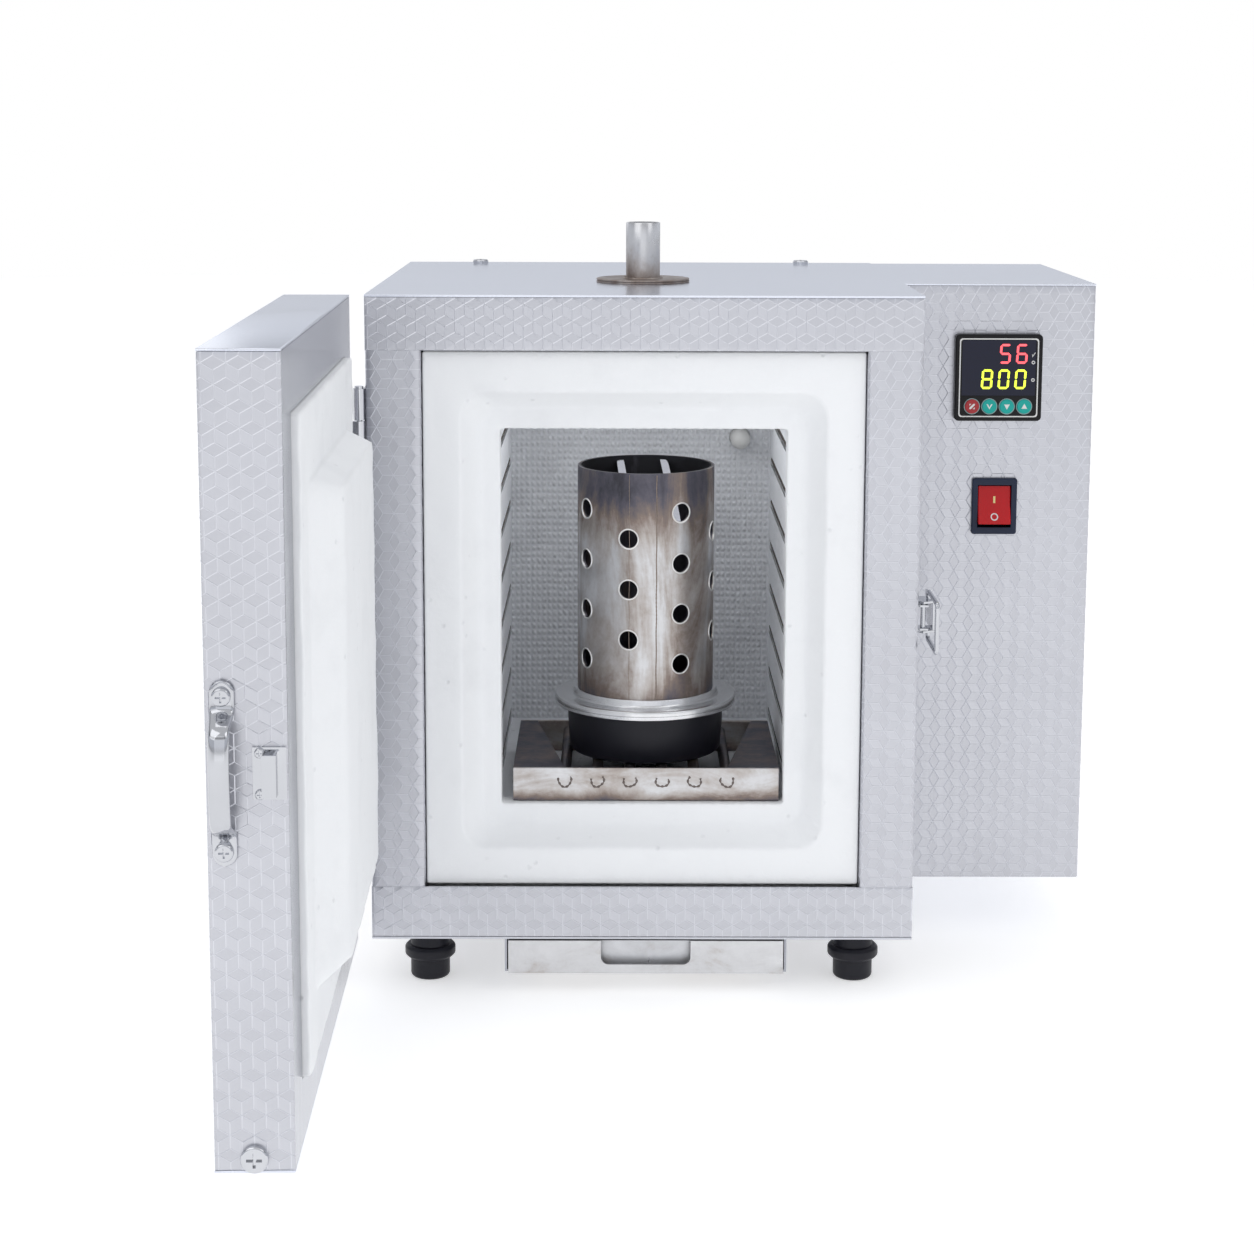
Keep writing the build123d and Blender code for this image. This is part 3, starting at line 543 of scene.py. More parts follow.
def makeFibreGroup():
    # Vacuum-formed fibre board: chalky white with faint clouds, pinholes darkened as painted shade, and a
    # felted surface.
    tree, given, result = newGroup("fibreSkin", [("Vector", "Vector", None), ("Dirt", "Float", 0.2)],
                                   [("Tone", "Float"), ("Height", "Float")])
    v = given.outputs["Vector"]
    cloud = noise(tree, v, 22.0, 5.0, 0.6)
    felt = noise(tree, v, 700.0, 3.0, 0.75, 0.4)
    lump = noise(tree, v, 120.0, 3.0, 0.6)
    pits = put(tree, "ShaderNodeTexVoronoi",
               {"Vector": v, "Scale": 75.0, "Randomness": 1.0}).outputs["Distance"]
    pit = stretch(tree, pits, 0.03, 0.11, 1.0, 0.0)
    dirt = times(tree, stretch(tree, cloud, 0.52, 0.85, 0.0, 1.0), given.outputs["Dirt"])
    height = add(tree, times(tree, felt, 0.35), times(tree, lump, 0.65))
    # painted shade: the pinholes are darker in tone as well as lower
    feed(tree, result, {"Tone": add(tree, dirt, times(tree, pit, 0.35)),
                        "Height": add(tree, height, times(tree, pit, -0.8))})
    return tree


groups = {"grain": makeGrainGroup(), "tint": makeTintGroup(), "fibre": makeFibreGroup()}


def newMaterial(name, **sockets):
    # A material with a Principled BSDF; constants go on the shader's own sockets.
    material = bpy.data.materials.new(name)
    material.use_nodes = True
    tree = material.node_tree
    shader = tree.nodes["Principled BSDF"]
    for label, value in sockets.items():
        shader.inputs[label.replace("_", " ")].default_value = value
    vector = tree.nodes.new("ShaderNodeTexCoord").outputs["Object"]
    return material, tree, shader, vector


def addGroup(tree, key, vector, **values):
    return put(tree, "ShaderNodeGroup", {"Vector": vector, **values}, node_tree=groups[key])


def addBump(tree, shader, height, strength, distance):
    bump = put(tree, "ShaderNodeBump", {"Height": height, "Strength": strength, "Distance": distance})
    feed(tree, shader, {"Normal": bump.outputs["Normal"]})


def sheetMaterial(name, dark, light, rough, paintFacetLight=False, bump=0.06):
    # Stainless sheet; on embossed sheet each way the rhombi lie gets its own level of painted shade and the
    # raised lines get a painted highlight.
    material, tree, shader, vector = newMaterial(name, Metallic=1.0)
    grain = addGroup(tree, "grain", vector)
    tone = times(tree, grain.outputs["Tone"], 0.45)
    if paintFacetLight:
        facet = put(tree, "ShaderNodeAttribute", attribute_name="facet").outputs["Fac"]
        line = maths(tree, "GREATER_THAN", facet, 3.5)
        side = maths(tree, "MODULO", facet, 3.999)
        # painted shade: each way the rhombi lie is given its own brightness
        tone = add(tree, times(tree, tone, 0.6), times(tree, side, 0.07))
        # painted highlight: the raised lines round the rhombi are made much paler
        tone = add(tree, tone, times(tree, line, 0.46))
    feed(tree, shader, {"Base Color": ramp(tree, tone, [(0.0, dark), (1.0, light)]),
                        "Roughness": stretch(tree, grain.outputs["Rough"], 0.2, 0.8, *rough)})
    addBump(tree, shader, grain.outputs["Height"], bump, 0.0002)
    return material


def burntMaterial(name, heat, stains, bands, hot=(), inside=None):
    # Heat-stained steel. Each of hot = (place, place, added heat) raises the heat from one height to the
    # other, and inside = (centre, radius, added darkening) darkens the steel within an upright cylinder as
    # painted shade, all in metres.
    material, tree, shader, vector = newMaterial(name, Metallic=1.0)
    level = heat
    for start, end, more in hot:
        place = put(tree, "ShaderNodeSeparateXYZ", {0: vector}).outputs["Z"]
        level = add(tree, stretch(tree, place, start, end, 0.0, more), level)
    # painted shade: the steel within the cylinder, the flask's inner face, is made darker
    if inside:
        away = put(tree, "ShaderNodeVectorMath", {0: vector, 1: inside[0]}, operation="SUBTRACT").outputs[0]
        away = put(tree, "ShaderNodeVectorMath", {0: away, 1: (1.0, 1.0, 0.0)},
                   operation="MULTIPLY").outputs[0]
        away = put(tree, "ShaderNodeVectorMath", {0: away}, operation="LENGTH").outputs["Value"]
        within = maths(tree, "LESS_THAN", away, inside[1])
        level = add(tree, times(tree, within, inside[2]), level)
    tint = addGroup(tree, "tint", vector, Heat=level, Stains=stains, Bands=bands)
    feed(tree, shader, {"Base Color": tint.outputs["Color"], "Roughness": tint.outputs["Rough"]})
    grain = addGroup(tree, "grain", vector)
    addBump(tree, shader, grain.outputs["Height"], 0.08, 0.0003)
    return material


def fibreMaterial(name, clean, dirtAndShadeColour, dirt, bump=0.5, weave=0.0):
    material, tree, shader, vector = newMaterial(name, Roughness=0.95, Specular_IOR_Level=0.15)
    skin = addGroup(tree, "fibre", vector, Dirt=dirt)
    tone, height = skin.outputs["Tone"], skin.outputs["Height"]
    if weave:
        wave = put(tree, "ShaderNodeTexWave",
                   {"Vector": vector, "Scale": weave, "Distortion": 0.8, "Detail": 1.0, "Detail Scale": 2.0},
                   wave_type="BANDS", bands_direction="X")
        across = put(tree, "ShaderNodeTexWave",
                     {"Vector": vector, "Scale": weave * 0.8, "Distortion": 1.2, "Detail": 1.0},
                     wave_type="BANDS", bands_direction="Z")
        ribs = times(tree, wave.outputs["Fac"], across.outputs["Fac"])
        height = add(tree, times(tree, height, 0.5), ribs)
        # painted shade: the hollows between the ribs are darker
        tone = add(tree, tone, times(tree, maths(tree, "SUBTRACT", 1.0, ribs), 0.30))
    feed(tree, shader, {"Base Color": ramp(tree, tone, [(0.0, clean), (1.0, dirtAndShadeColour)])})
    addBump(tree, shader, height, bump, 0.0008)
    return material


def plainMaterial(name, colour, rough, metal=0.0, bump=0.05, grainScale=1.0, **extra):
    # Moulded or plated finish with slight tone and roughness change over the surface.
    material, tree, shader, vector = newMaterial(name, Metallic=metal, **extra)
    grain = addGroup(tree, "grain", vector, Scale=grainScale)
    darker = tuple(c * 0.82 for c in colour)
    feed(tree, shader, {"Base Color": mixColour(tree, grain.outputs["Tone"], darker, colour),
                        "Roughness": stretch(tree, grain.outputs["Rough"], 0.2, 0.8, rough * 0.85,
                                             rough * 1.15)})
    addBump(tree, shader, grain.outputs["Height"], bump, 0.0002)
    return material


baseZ = float(home[2])
finish = {
    # embossed sheet: painted shade on the rhombi by the way they lie, painted highlight on the raised lines
    "embossed": sheetMaterial("embossedStainless", (0.50, 0.505, 0.54), (0.72, 0.73, 0.775), (0.26, 0.42),
                              True),
    "plain": sheetMaterial("plainStainless", (0.74, 0.765, 0.84), (0.86, 0.885, 0.96), (0.16, 0.30)),
    "dull": sheetMaterial("backStainless", (0.54, 0.55, 0.59), (0.66, 0.67, 0.72), (0.28, 0.42)),
    "inner": sheetMaterial("innerStainless", (0.36, 0.37, 0.41), (0.56, 0.57, 0.61), (0.12, 0.24)),
    "bright": plainMaterial("brightPlate", (0.63, 0.64, 0.67), 0.10, 1.0, 0.02),
    # flaskSteel: the flask's inner face is darkened as painted shade inside the tube
    "flask": burntMaterial("flaskSteel", 0.38, 1.15, (36.0, 36.0, 9.0),
                           ((baseZ + 0.205, baseZ + 0.236, 0.32), (baseZ + 0.140, baseZ + 0.120, 0.20)),
                           (tuple(home + np.array([2.0, 83.0, 0.0]) * mm), 0.0373, 0.40)),
    "flange": burntMaterial("flangeSteel", 0.12, 0.35, (40.0, 40.0, 40.0)),
    "grate": burntMaterial("grateSteel", 0.68, 0.5, (25.0, 45.0, 40.0)),
    "grateFront": burntMaterial("grateFrontSteel", 0.40, 0.75, (22.0, 60.0, 60.0),
                                ((baseZ + 0.0765, baseZ + 0.070, 0.26),)),
    "tray": burntMaterial("traySteel", 0.30, 0.6, (30.0, 30.0, 60.0)),
    "flue": burntMaterial("flueSteel", 0.22, 0.5, (60.0, 60.0, 22.0),
                          ((baseZ + 0.368, baseZ + 0.348, 0.34),)),
    # every fibre material darkens its pinholes as painted shade; firedFibre also darkens its rib hollows
    "fibre": fibreMaterial("fibreBoard", (0.90, 0.91, 0.92), (0.66, 0.67, 0.69), 0.28),
    "hotFibre": fibreMaterial("firedFibre", (0.92, 0.94, 0.97), (0.56, 0.57, 0.60), 0.5, 1.0, 98.0),
    "chamberFibre": fibreMaterial("chamberFibre", (0.93, 0.95, 0.98), (0.60, 0.62, 0.66), 0.4, 0.7),
    "blanket": fibreMaterial("blanketFibre", (0.85, 0.85, 0.83), (0.65, 0.65, 0.62), 0.3, 0.9),
    "element": plainMaterial("elementWire", (0.16, 0.14, 0.13), 0.6, 0.7, 0.2),
    "ceramic": plainMaterial("firedClay", (0.86, 0.86, 0.84), 0.55, 0.0, 0.1),
    "rubber": plainMaterial("blackRubber", (0.011, 0.011, 0.017), 0.42, 0.0, 0.25, 2.0,
                            Specular_IOR_Level=0.3),
    "blackPlastic": plainMaterial("blackMoulding", (0.008, 0.008, 0.009), 0.35, 0.0, 0.12, 3.0,
                                  Specular_IOR_Level=0.2),
    "window": plainMaterial("meterWindow", (0.008, 0.010, 0.030), 0.07, 0.0, 0.01, Specular_IOR_Level=0.25),
    "navy": plainMaterial("navyMoulding", (0.008, 0.016, 0.045), 0.32, 0.0, 0.12, 3.0,
                          Specular_IOR_Level=0.3),
    "red": plainMaterial("redMoulding", (0.56, 0.006, 0.010), 0.2, 0.0, 0.03, Specular_IOR_Level=0.3),
    "keyRed": plainMaterial("keyRed", (0.42, 0.035, 0.040), 0.38, 0.0, 0.05, Specular_IOR_Level=0.3),
    "keyTeal": plainMaterial("keyTeal", (0.01, 0.42, 0.37), 0.38, 0.0, 0.05, Specular_IOR_Level=0.3),
    "white": plainMaterial("whitePrint", (0.82, 0.82, 0.80), 0.5, 0.0, 0.05),
    "relay": plainMaterial("relayCase", (0.70, 0.70, 0.66), 0.4, 0.0, 0.05),
    "rim": plainMaterial("holeRim", (0.95, 0.94, 0.92), 0.3, 1.0, 0.05),
    "seam": plainMaterial("weldSeam", (0.34, 0.28, 0.24), 0.4, 1.0, 0.3),
    "weld": plainMaterial("weldMark", (0.20, 0.17, 0.155), 0.38, 1.0, 0.3),
    "keyRing": plainMaterial("keyRing", (0.30, 0.42, 0.42), 0.3, 0.2, 0.05),
    "pink": plainMaterial("pinkPrint", (0.72, 0.20, 0.24), 0.5, 0.0, 0.05),
    "cream": plainMaterial("creamPrint", (0.85, 0.72, 0.30), 0.45, 0.0, 0.05),
}


def glowMaterial(name, colour, strength):
    material, tree, shader, vector = newMaterial(name, Roughness=0.4, Emission_Strength=strength)
    grain = addGroup(tree, "grain", vector, Scale=4.0)
    dim = tuple(c * 0.85 for c in colour)
    mixed = mixColour(tree, grain.outputs["Tone"], dim, colour)
    feed(tree, shader, {"Emission Color": mixed, "Base Color": mixed})
    return material


finish["redGlow"] = glowMaterial("redFigures", (1.0, 0.10, 0.12), 1.3)
finish["limeGlow"] = glowMaterial("limeFigures", (0.72, 0.92, 0.05), 1.2)
print("materials made", len(finish))


# Camera, light and stage
view = {"at": (-45.4, -1239.2, 468.0), "down": 8.60, "right": 0.17, "roll": 0.18, "lens": 69.36,
        "rise": -0.117}


def makeCamera():
    data = bpy.data.cameras.new("camera")
    data.sensor_width, data.lens, data.shift_y = 36.0, view["lens"], view["rise"]
    data.clip_end = 50
    camera = bpy.data.objects.new("camera", data)
    turn = (Matrix.Rotation(-math.radians(view["right"]), 4, "Z") @
            Matrix.Rotation(math.radians(90 - view["down"]), 4, "X") @
            Matrix.Rotation(math.radians(view["roll"]), 4, "Z"))
    camera.matrix_world = Matrix.Translation(Vector(view["at"]) * mm) @ turn
    bpy.context.scene.collection.objects.link(camera)
    bpy.context.scene.camera = camera


studio = {
    "key": {"at": (-1.3, -1.5, 1.7), "aim": (0, 0, 0.2), "size": 1.8, "power": 9.0},
    "fill": {"at": (1.6, -1.3, 1.7), "aim": (0.1, 0, 0.2), "size": 1.2, "power": 4.5},
    "top": {"at": (0.0, 0.5, 2.2), "aim": (0, 0, 0.2), "size": 1.6, "power": 6.0},
    "front": {"at": (0.0, -2.2, 0.7), "aim": (0, 0, 0.2), "size": 1.8, "power": 3.0},
    "back": {"at": (-1.2, 1.8, 1.3), "aim": (0, 0, 0.2), "size": 1.4, "power": 3.0},
    "chamber": {"at": (-0.033, 0.112, 0.3028), "aim": (-0.033, 0.113, 0.10), "size": 0.145, "power": 0.055},
}


def makeStudio():
    for name, lamp in studio.items():
        data = bpy.data.lights.new(name, "AREA")
        data.size, data.energy = lamp["size"], lamp["power"]
        light = bpy.data.objects.new(name, data)
        light.location = lamp["at"]
        light.visible_camera = False
        light.rotation_euler = (Vector(lamp["aim"]) - Vector(lamp["at"])).to_track_quat("-Z", "Y").to_euler()
        bpy.context.scene.collection.objects.link(light)
    world = bpy.data.worlds.new("studioWorld")
    world.use_nodes = True
    tree = world.node_tree
    tree.nodes.clear()
    way = put(tree, "ShaderNodeSeparateXYZ", {0: tree.nodes.new("ShaderNodeTexCoord").outputs["Generated"]})
    shade = ramp(tree, stretch(tree, way.outputs["Z"], -1.0, 1.0, 0.0, 1.0),
                 [(0.0, (0.55, 0.56, 0.58)), (0.50, (0.66, 0.67, 0.70)), (0.54, (0.86, 0.89, 0.96)),
                  (0.67, (0.90, 0.93, 0.99)), (0.70, (0.22, 0.225, 0.24)), (0.75, (0.22, 0.225, 0.24)),
                  (0.78, (0.90, 0.91, 0.94)), (1.0, (0.97, 0.98, 1.0))])
    soft = put(tree, "ShaderNodeBackground", {"Color": shade, "Strength": 0.80})
    seen = put(tree, "ShaderNodeBackground", {"Color": (1, 1, 1, 1), "Strength": 1.0})
    ray = tree.nodes.new("ShaderNodeLightPath").outputs["Is Camera Ray"]
    mixed = put(tree, "ShaderNodeMixShader", {0: ray, 1: soft.outputs[0], 2: seen.outputs[0]})
    put(tree, "ShaderNodeOutputWorld", {0: mixed.outputs[0]})
    bpy.context.scene.world = world
    ring = np.stack([np.column_stack([circle(r, 96), np.zeros(96)]) for r in (0.5, 6.0)])
    mesh = bpy.data.meshes.new("floor")
    points, faces = ringShell(ring)
    mesh.from_pydata(points.tolist(), [], faces[:-2] + [list(range(96))])
    paper, ptree, shader, vector = newMaterial("paleFloor", Roughness=0.9, Specular_IOR_Level=0.1,
                                               Emission_Color=(1, 1, 1, 1), Emission_Strength=0.46)
    tone = noise(ptree, vector, 3.0)
    feed(ptree, shader, {"Base Color": mixColour(ptree, tone, (0.80, 0.80, 0.80), (0.83, 0.83, 0.83))})
    mesh.materials.append(paper)
    floor = bpy.data.objects.new("floor", mesh)
    bpy.context.scene.collection.objects.link(floor)
    bpy.context.scene.view_settings.view_transform = "Standard"


makeCamera()
makeStudio()
print("camera and studio made")


# Cabinet casing
casing = {"sheet": 1.2, "frame": 29.0, "lip": 12.0, "bend": 2.0, "postBack": 0.35,
          "boxFront": 96.0, "boxBack": 276.0, "boxLow": 4.0, "boxBend": 1.6}


def makeCasing():
    w, h, d = cabinet["w"] / 2, cabinet["h"], cabinet["d"]
    t, f, b = casing["sheet"], casing["frame"], casing["postBack"]
    for side, hand in ((-1, "left"), (1, "right")):
        line = [(side * w, d - t), (side * w, b), (side * (w - f), b), (side * (w - f), casing["lip"])]
        embossedSheet(f"{hand}CasingSheet", line if side < 0 else line[::-1], t, h - t, t, "cabinet",
                      finish["embossed"], (f"{hand}_side_panel", "front_posts"),
                      turned=True, bend=casing["bend"])
    for name, node, low, high in (("headerStrip", "front_header", h - f, h - t),
                                  ("sillStrip", "front_sill", t, f)):
        embossedSheet(name, [(-w, 0.0), (w, 0.0)], low, high, t, "cabinet",
                      finish["embossed"], (node,))
    right = nodeBox("control_box_cover")[1][0]
    mid = (nodeBox("rocker_frame")[0][0] + nodeBox("rocker_frame")[1][0]) / 2 - w
    low = casing["boxLow"]
    rockerAt = nodeBox("rocker_frame")
    meterAt = nodeBox("controller_case")
    holes = [(mid - 9.6, mid + 9.6, rockerAt[0][2] + 3.6 - low, rockerAt[1][2] - 3.6 - low),
             (mid - 20.0, mid + 20.0, meterAt[0][2] + 4.0 - low, meterAt[1][2] - 4.0 - low)]
    line = [(w, casing["boxFront"]), (right, casing["boxFront"]), (right, casing["boxBack"]),
            (w, casing["boxBack"])]
    embossedSheet("controlBoxSheet", line, low, h - t, t, "cabinet", finish["embossed"],
                  ("control_box_shell",), turned=True, bend=casing["boxBend"], holes=holes)
    floor = block((w + 0.2, casing["boxFront"] + 1.3, low), (right - 1.3, casing["boxBack"] - 1.3, low + t))
    addPiece("controlBoxFloor", floor, "cabinet", finish["plain"])


doorSkin = {"front": -35.5, "back": -1.5, "sheet": 1.2, "bend": 1.4}


def makeDoorSkin():
    w, h, t = cabinet["w"] / 2, cabinet["h"], doorSkin["sheet"]
    front, back = doorSkin["front"], doorSkin["back"]
    embossedSheet("doorSheet", [(-w, back), (-w, front), (w, front), (w, back)], t, h - t, t, "door",
                  finish["embossed"], ("door_shell",), bend=doorSkin["bend"], onDoor=True)
    corners = np.array([(-w, front), (w, front), (w, back), (-w, back)])
    for name, low in (("doorTopPlate", h - t), ("doorBottomPlate", 0.0)):
        inset = (0.5, 0.12, 0.0, 0.0, 0.12, 0.5)
        level = (0.0, 0.12, 0.5, t - 0.5, t - 0.12, t)
        rings = [np.column_stack([corners + np.sign(np.array([(1, 1), (-1, 1), (-1, -1), (1, -1)])) * i,
                                  np.full(4, low + z)]) for i, z in zip(inset, level)]
        addPiece(name, ringShell(np.array(rings)), "door", finish["plain"], onDoor=True,
                 sharp=60)


makeCasing()
makeDoorSkin()
print("casing and door skin made")


# Fibre boards
def boxRing(x, z, radius, y, corner=7, side=70):
    # A rounded rectangle between two values of x and of z, at y.
    flat = roundRect((x[1] - x[0]) / 2, (z[1] - z[0]) / 2, radius, corner, side)
    return np.column_stack([flat[:, 0] + (x[0] + x[1]) / 2, np.full(len(flat), y),
                            flat[:, 1] + (z[0] + z[1]) / 2])


def between(first, last, steps):
    # Rings that run evenly from one (x, z, radius, y) to another.
    flat = [np.array([*v[0], *v[1], v[2], v[3]], float) for v in (first, last)]
    rows = [flat[0] + (flat[1] - flat[0]) * f for f in np.linspace(0, 1, steps)]
    return [((r[0], r[1]), (r[2], r[3]), r[4], r[5]) for r in rows]


def shrink(x, z, by):
    return (x[0] + by, x[1] - by), (z[0] + by, z[1] - by)


def rounded(x, z, radius, y, edge, outward, steps=5):
    # The rings of a rounded edge: from a wall in x and z to a face at y, or the other way.
    rings = []
    for a in np.linspace(0, math.pi / 2, steps):
        by = edge * (1 - math.cos(a)) * (1 if outward else -1)
        nx, nz = shrink(x, z, by)
        rings.append((nx, nz, max(radius - (by if outward else -by), 0.6), y + edge * (1 - math.sin(a))))
    return rings


fibreFront = {"x": (-115.6, 115.6), "z": (29.4, 316.6), "front": 4.0, "back": 30.0, "mouthX": (-95.0, 95.0),
              "mouthZ": (50.0, 294.0), "ledge": 18.0, "chamberX": (-76.0, 76.0),
              "chamberZ": (70.0, 274.0), "tooth": 3.4, "toothDepth": 0.35}


def makeCollar():
    c = fibreFront
    rings = [(c["x"], c["z"], 1.6, c["back"]), (c["x"], c["z"], 1.6, 12.0)]
    rings += rounded(c["x"], c["z"], 1.6, c["front"], 1.1, True)
    faceX, faceZ = shrink(c["x"], c["z"], 1.1)
    lipX, lipZ = shrink(c["mouthX"], c["mouthZ"], -2.4)
    rings += between((faceX, faceZ, 1.0, c["front"]), (lipX, lipZ, 15.0, c["front"]), 7)[1:]
    slope = [(2.4, 0.0), (1.3, 0.25), (0.4, 0.9), (-0.3, 2.0), (-2.4, 5.0), (-5.0, 8.6), (-7.2, 11.6),
             (-8.3, 12.9), (-9.4, 13.7), (-11.0, 14.0)]
    for out, deep in slope[1:]:
        x, z = shrink(c["mouthX"], c["mouthZ"], -out)
        rings.append((x, z, 13.0 + out * 0.4, c["front"] + deep))
    edgeX, edgeZ = shrink(c["chamberX"], c["chamberZ"], -0.9)
    rings += between(rings[-1], (edgeX, edgeZ, 2.4, c["ledge"]), 5)[1:]
    mouth = len(rings)
    for by, deep in ((0.55, 0.1), (0.2, 0.4), (0.0, 0.9)):
        x, z = shrink(c["chamberX"], c["chamberZ"], -by)
        rings.append((x, z, 2.0, c["ledge"] + deep))
    rings += between((c["chamberX"], c["chamberZ"], 1.6, c["ledge"] + 1.5),
                     (c["chamberX"], c["chamberZ"], 1.6, c["back"]), 6)
    points = np.array([boxRing(*r) for r in rings])
    level = points[mouth:, :, 2]
    nearEnd = np.minimum(abs(level - c["chamberZ"][0]), abs(level - c["chamberZ"][1])) < 1.0
    tooth = abs(np.sin(points[mouth:, :, 0] * math.pi / c["tooth"])) * c["toothDepth"]
    middle = sum(c["chamberZ"]) / 2
    points[mouth:, :, 2] += np.where(nearEnd, np.sign(level - middle) * (tooth - c["toothDepth"] * 0.2), 0)
    wave = ripple(points, 26.0, 0.22, 4) + ripple(points, 7.0, 0.09, 5)
    x, y, z = points[..., 0], points[..., 1], points[..., 2]
    free = (y < c["back"] - 0.5) & (abs(x) < c["x"][1] - 1.5) & (z < 315) & (z > 31)
    points[..., 1] += np.where(free, wave + 0.25, 0)
    addPiece("fibreCollar", ringShell(points, True), "cabinet", finish["fibre"],
             ("fibre_front_collar",), sharp=70)


plug = {"x": (-115.5, 115.5), "z": (29.5, 316.5), "back": -30.0, "face": 2.5, "lowX": (-92.0, 92.0),
        "lowZ": (58.0, 284.0), "highX": (-85.0, 65.0), "highZ": (64.0, 278.0), "top": 15.5}


def makePlug():
    c = plug
    rings = [(c["x"], c["z"], 2.0, c["back"]), (c["x"], c["z"], 2.0, -1.0)]
    edge = rounded(c["x"], c["z"], 2.0, c["face"], 1.4, True)
    rings += [(x, z, r, 2 * c["face"] - y) for x, z, r, y in edge]
    faceX, faceZ = shrink(c["x"], c["z"], 1.4)
    footX, footZ = shrink(c["lowX"], c["lowZ"], -2.2)
    rings += between((faceX, faceZ, 1.0, c["face"]), (footX, footZ, 12.0, c["face"]), 6)[1:]
    for f, lift in ((0.02, 0.25), (0.10, 1.3), (0.35, 4.4), (0.62, 8.0), (0.86, 11.0), (0.97, 12.5)):
        x = tuple(a + (b - a) * f for a, b in zip(c["lowX"], c["highX"]))
        z = tuple(a + (b - a) * f for a, b in zip(c["lowZ"], c["highZ"]))
        rings.append((x, z, 10.0 - 3 * f, c["face"] + lift))
    topX, topZ = shrink(c["highX"], c["highZ"], 1.8)
    rings.append((topX, topZ, 5.5, c["top"]))
    middleX = ((topX[0] + topX[1]) / 2 - 2.0, (topX[0] + topX[1]) / 2 + 2.0)
    middleZ = ((topZ[0] + topZ[1]) / 2 - 2.0, (topZ[0] + topZ[1]) / 2 + 2.0)
    rings += between((topX, topZ, 5.5, c["top"]), (middleX, middleZ, 1.0, c["top"]), 10)[1:]
    points = np.array([boxRing(*r) for r in rings])
    wave = ripple(points, 30.0, 0.26, 14) + ripple(points, 8.0, 0.10, 15)
    points[..., 1] -= np.where(points[..., 1] > 1.0, wave + 0.38, 0)
    addPiece("doorPlug", ringShell(points), "door", finish["fibre"], ("door_fibre_plug",),
             onDoor=True, sharp=70)


makeCollar()
makePlug()
print("fibre pieces made")


# Heating coils and flue
coil = {"rows": 8, "front": 36.0, "back": 198.8, "top": 258.0, "bottom": 78.0, "out": 82.0, "turn": 2.7,
        "wire": 0.62, "pitch": 3.1, "link": 1.4, "inset": 3.0}


def makeCoils():
    c = coil
    levels = np.linspace(c["top"], c["bottom"], c["rows"])
    turns = (c["back"] - c["front"]) / c["pitch"]
    t = np.linspace(0, 1, int(turns * 9))
    angle = t * turns * 2 * math.pi
    for side, hand in ((-1, "left"), (1, "right")):
        shells = []
        for z in levels:
            out = np.stack([np.cos(angle), np.zeros_like(angle), np.sin(angle)], -1)
            path = out * c["turn"] + np.stack([np.full_like(t, side * c["out"]),
                                               c["front"] + t * (c["back"] - c["front"]),
                                               np.full_like(t, z)], -1)
            shells.append(carry(path, circle(c["wire"], 5), out))
        for i in range(1, c["rows"]):
            y = c["front"] + c["inset"] if i % 2 else c["back"] - c["inset"]
            path = np.array([(side * c["out"], y, z) for z in np.linspace(levels[i], levels[i - 1], 6)])
            shells.append(carry(path, circle(c["link"], 8), (0, 1, 0)))
        addPiece(f"{hand}Coils", together(shells), "cabinet", finish["element"],
                 (f"heating_element_{hand}",), sharp=80)


flue = {"y": 105.0, "low": 276.0, "high": 379.0, "radius": 9.5, "wall": 1.5, "flange": 26.0, "plate": 346.0,
        "thick": 2.0}


def makeFlue():
    f = flue
    at = (0.0, f["y"], 0.0)
    inner = f["radius"] - f["wall"]
    profile = [(inner, f["low"]), (f["radius"], f["low"])]
    profile += [(f["radius"], z) for z in np.linspace(290, f["high"] - 0.5, 8)]
    profile += [(f["radius"] - 0.25, f["high"] - 0.1), (f["radius"] - 0.7, f["high"]),
                (inner + 0.2, f["high"] - 0.2)]
    addPiece("flueTube", lathe(profile, at, 72, closed=True), "flue", finish["flue"],
             ("flue_tube",))
    low, high = f["plate"], f["plate"] + f["thick"]
    rim = f["flange"]
    disc = [(f["radius"] + 0.05, low), (rim - 0.35, low), (rim - 0.1, low + 0.12), (rim, low + 0.42),
            (rim - 0.12, low + 0.74), (rim - 0.75, low + 0.92), (rim - 0.75, low + 1.08),
            (rim - 0.12, low + 1.26), (rim, low + 1.58), (rim - 0.1, high - 0.12), (rim - 0.35, high),
            (16.0, high - 0.1), (13.6, high - 0.05), (12.4, high), (f["radius"] + 0.05, high)]
    addPiece("flueFlange", lathe(disc, at, 96, closed=True), "flue", finish["flue"],
             ("flue_flange",), sharp=50)
    bead = torus((0.0, f["y"], high), f["radius"] + 0.9, 0.95, "z", 0.75, 72, 8)
    points = bead[0].copy()
    turn = np.arctan2(points[:, 1] - f["y"], points[:, 0])
    points[:, 2] = np.maximum(points[:, 2] + 0.16 * np.sin(turn * 26), high - 0.6)
    addPiece("flueWeld", (points, bead[1]), "flue", finish["flue"], sharp=60)


makeCoils()
makeFlue()
print("coils and flue made")


# Casting flask and its base
flask = {"x": 2.0, "y": 83.0, "radius": 38.0, "flange": 50.75, "flangeHigh": 5.0, "step": 40.0,
         "stepHigh": 4.0, "hole": 5.0, "pitch": 28.0, "columns": 8, "seams": (8.3, -14.3)}


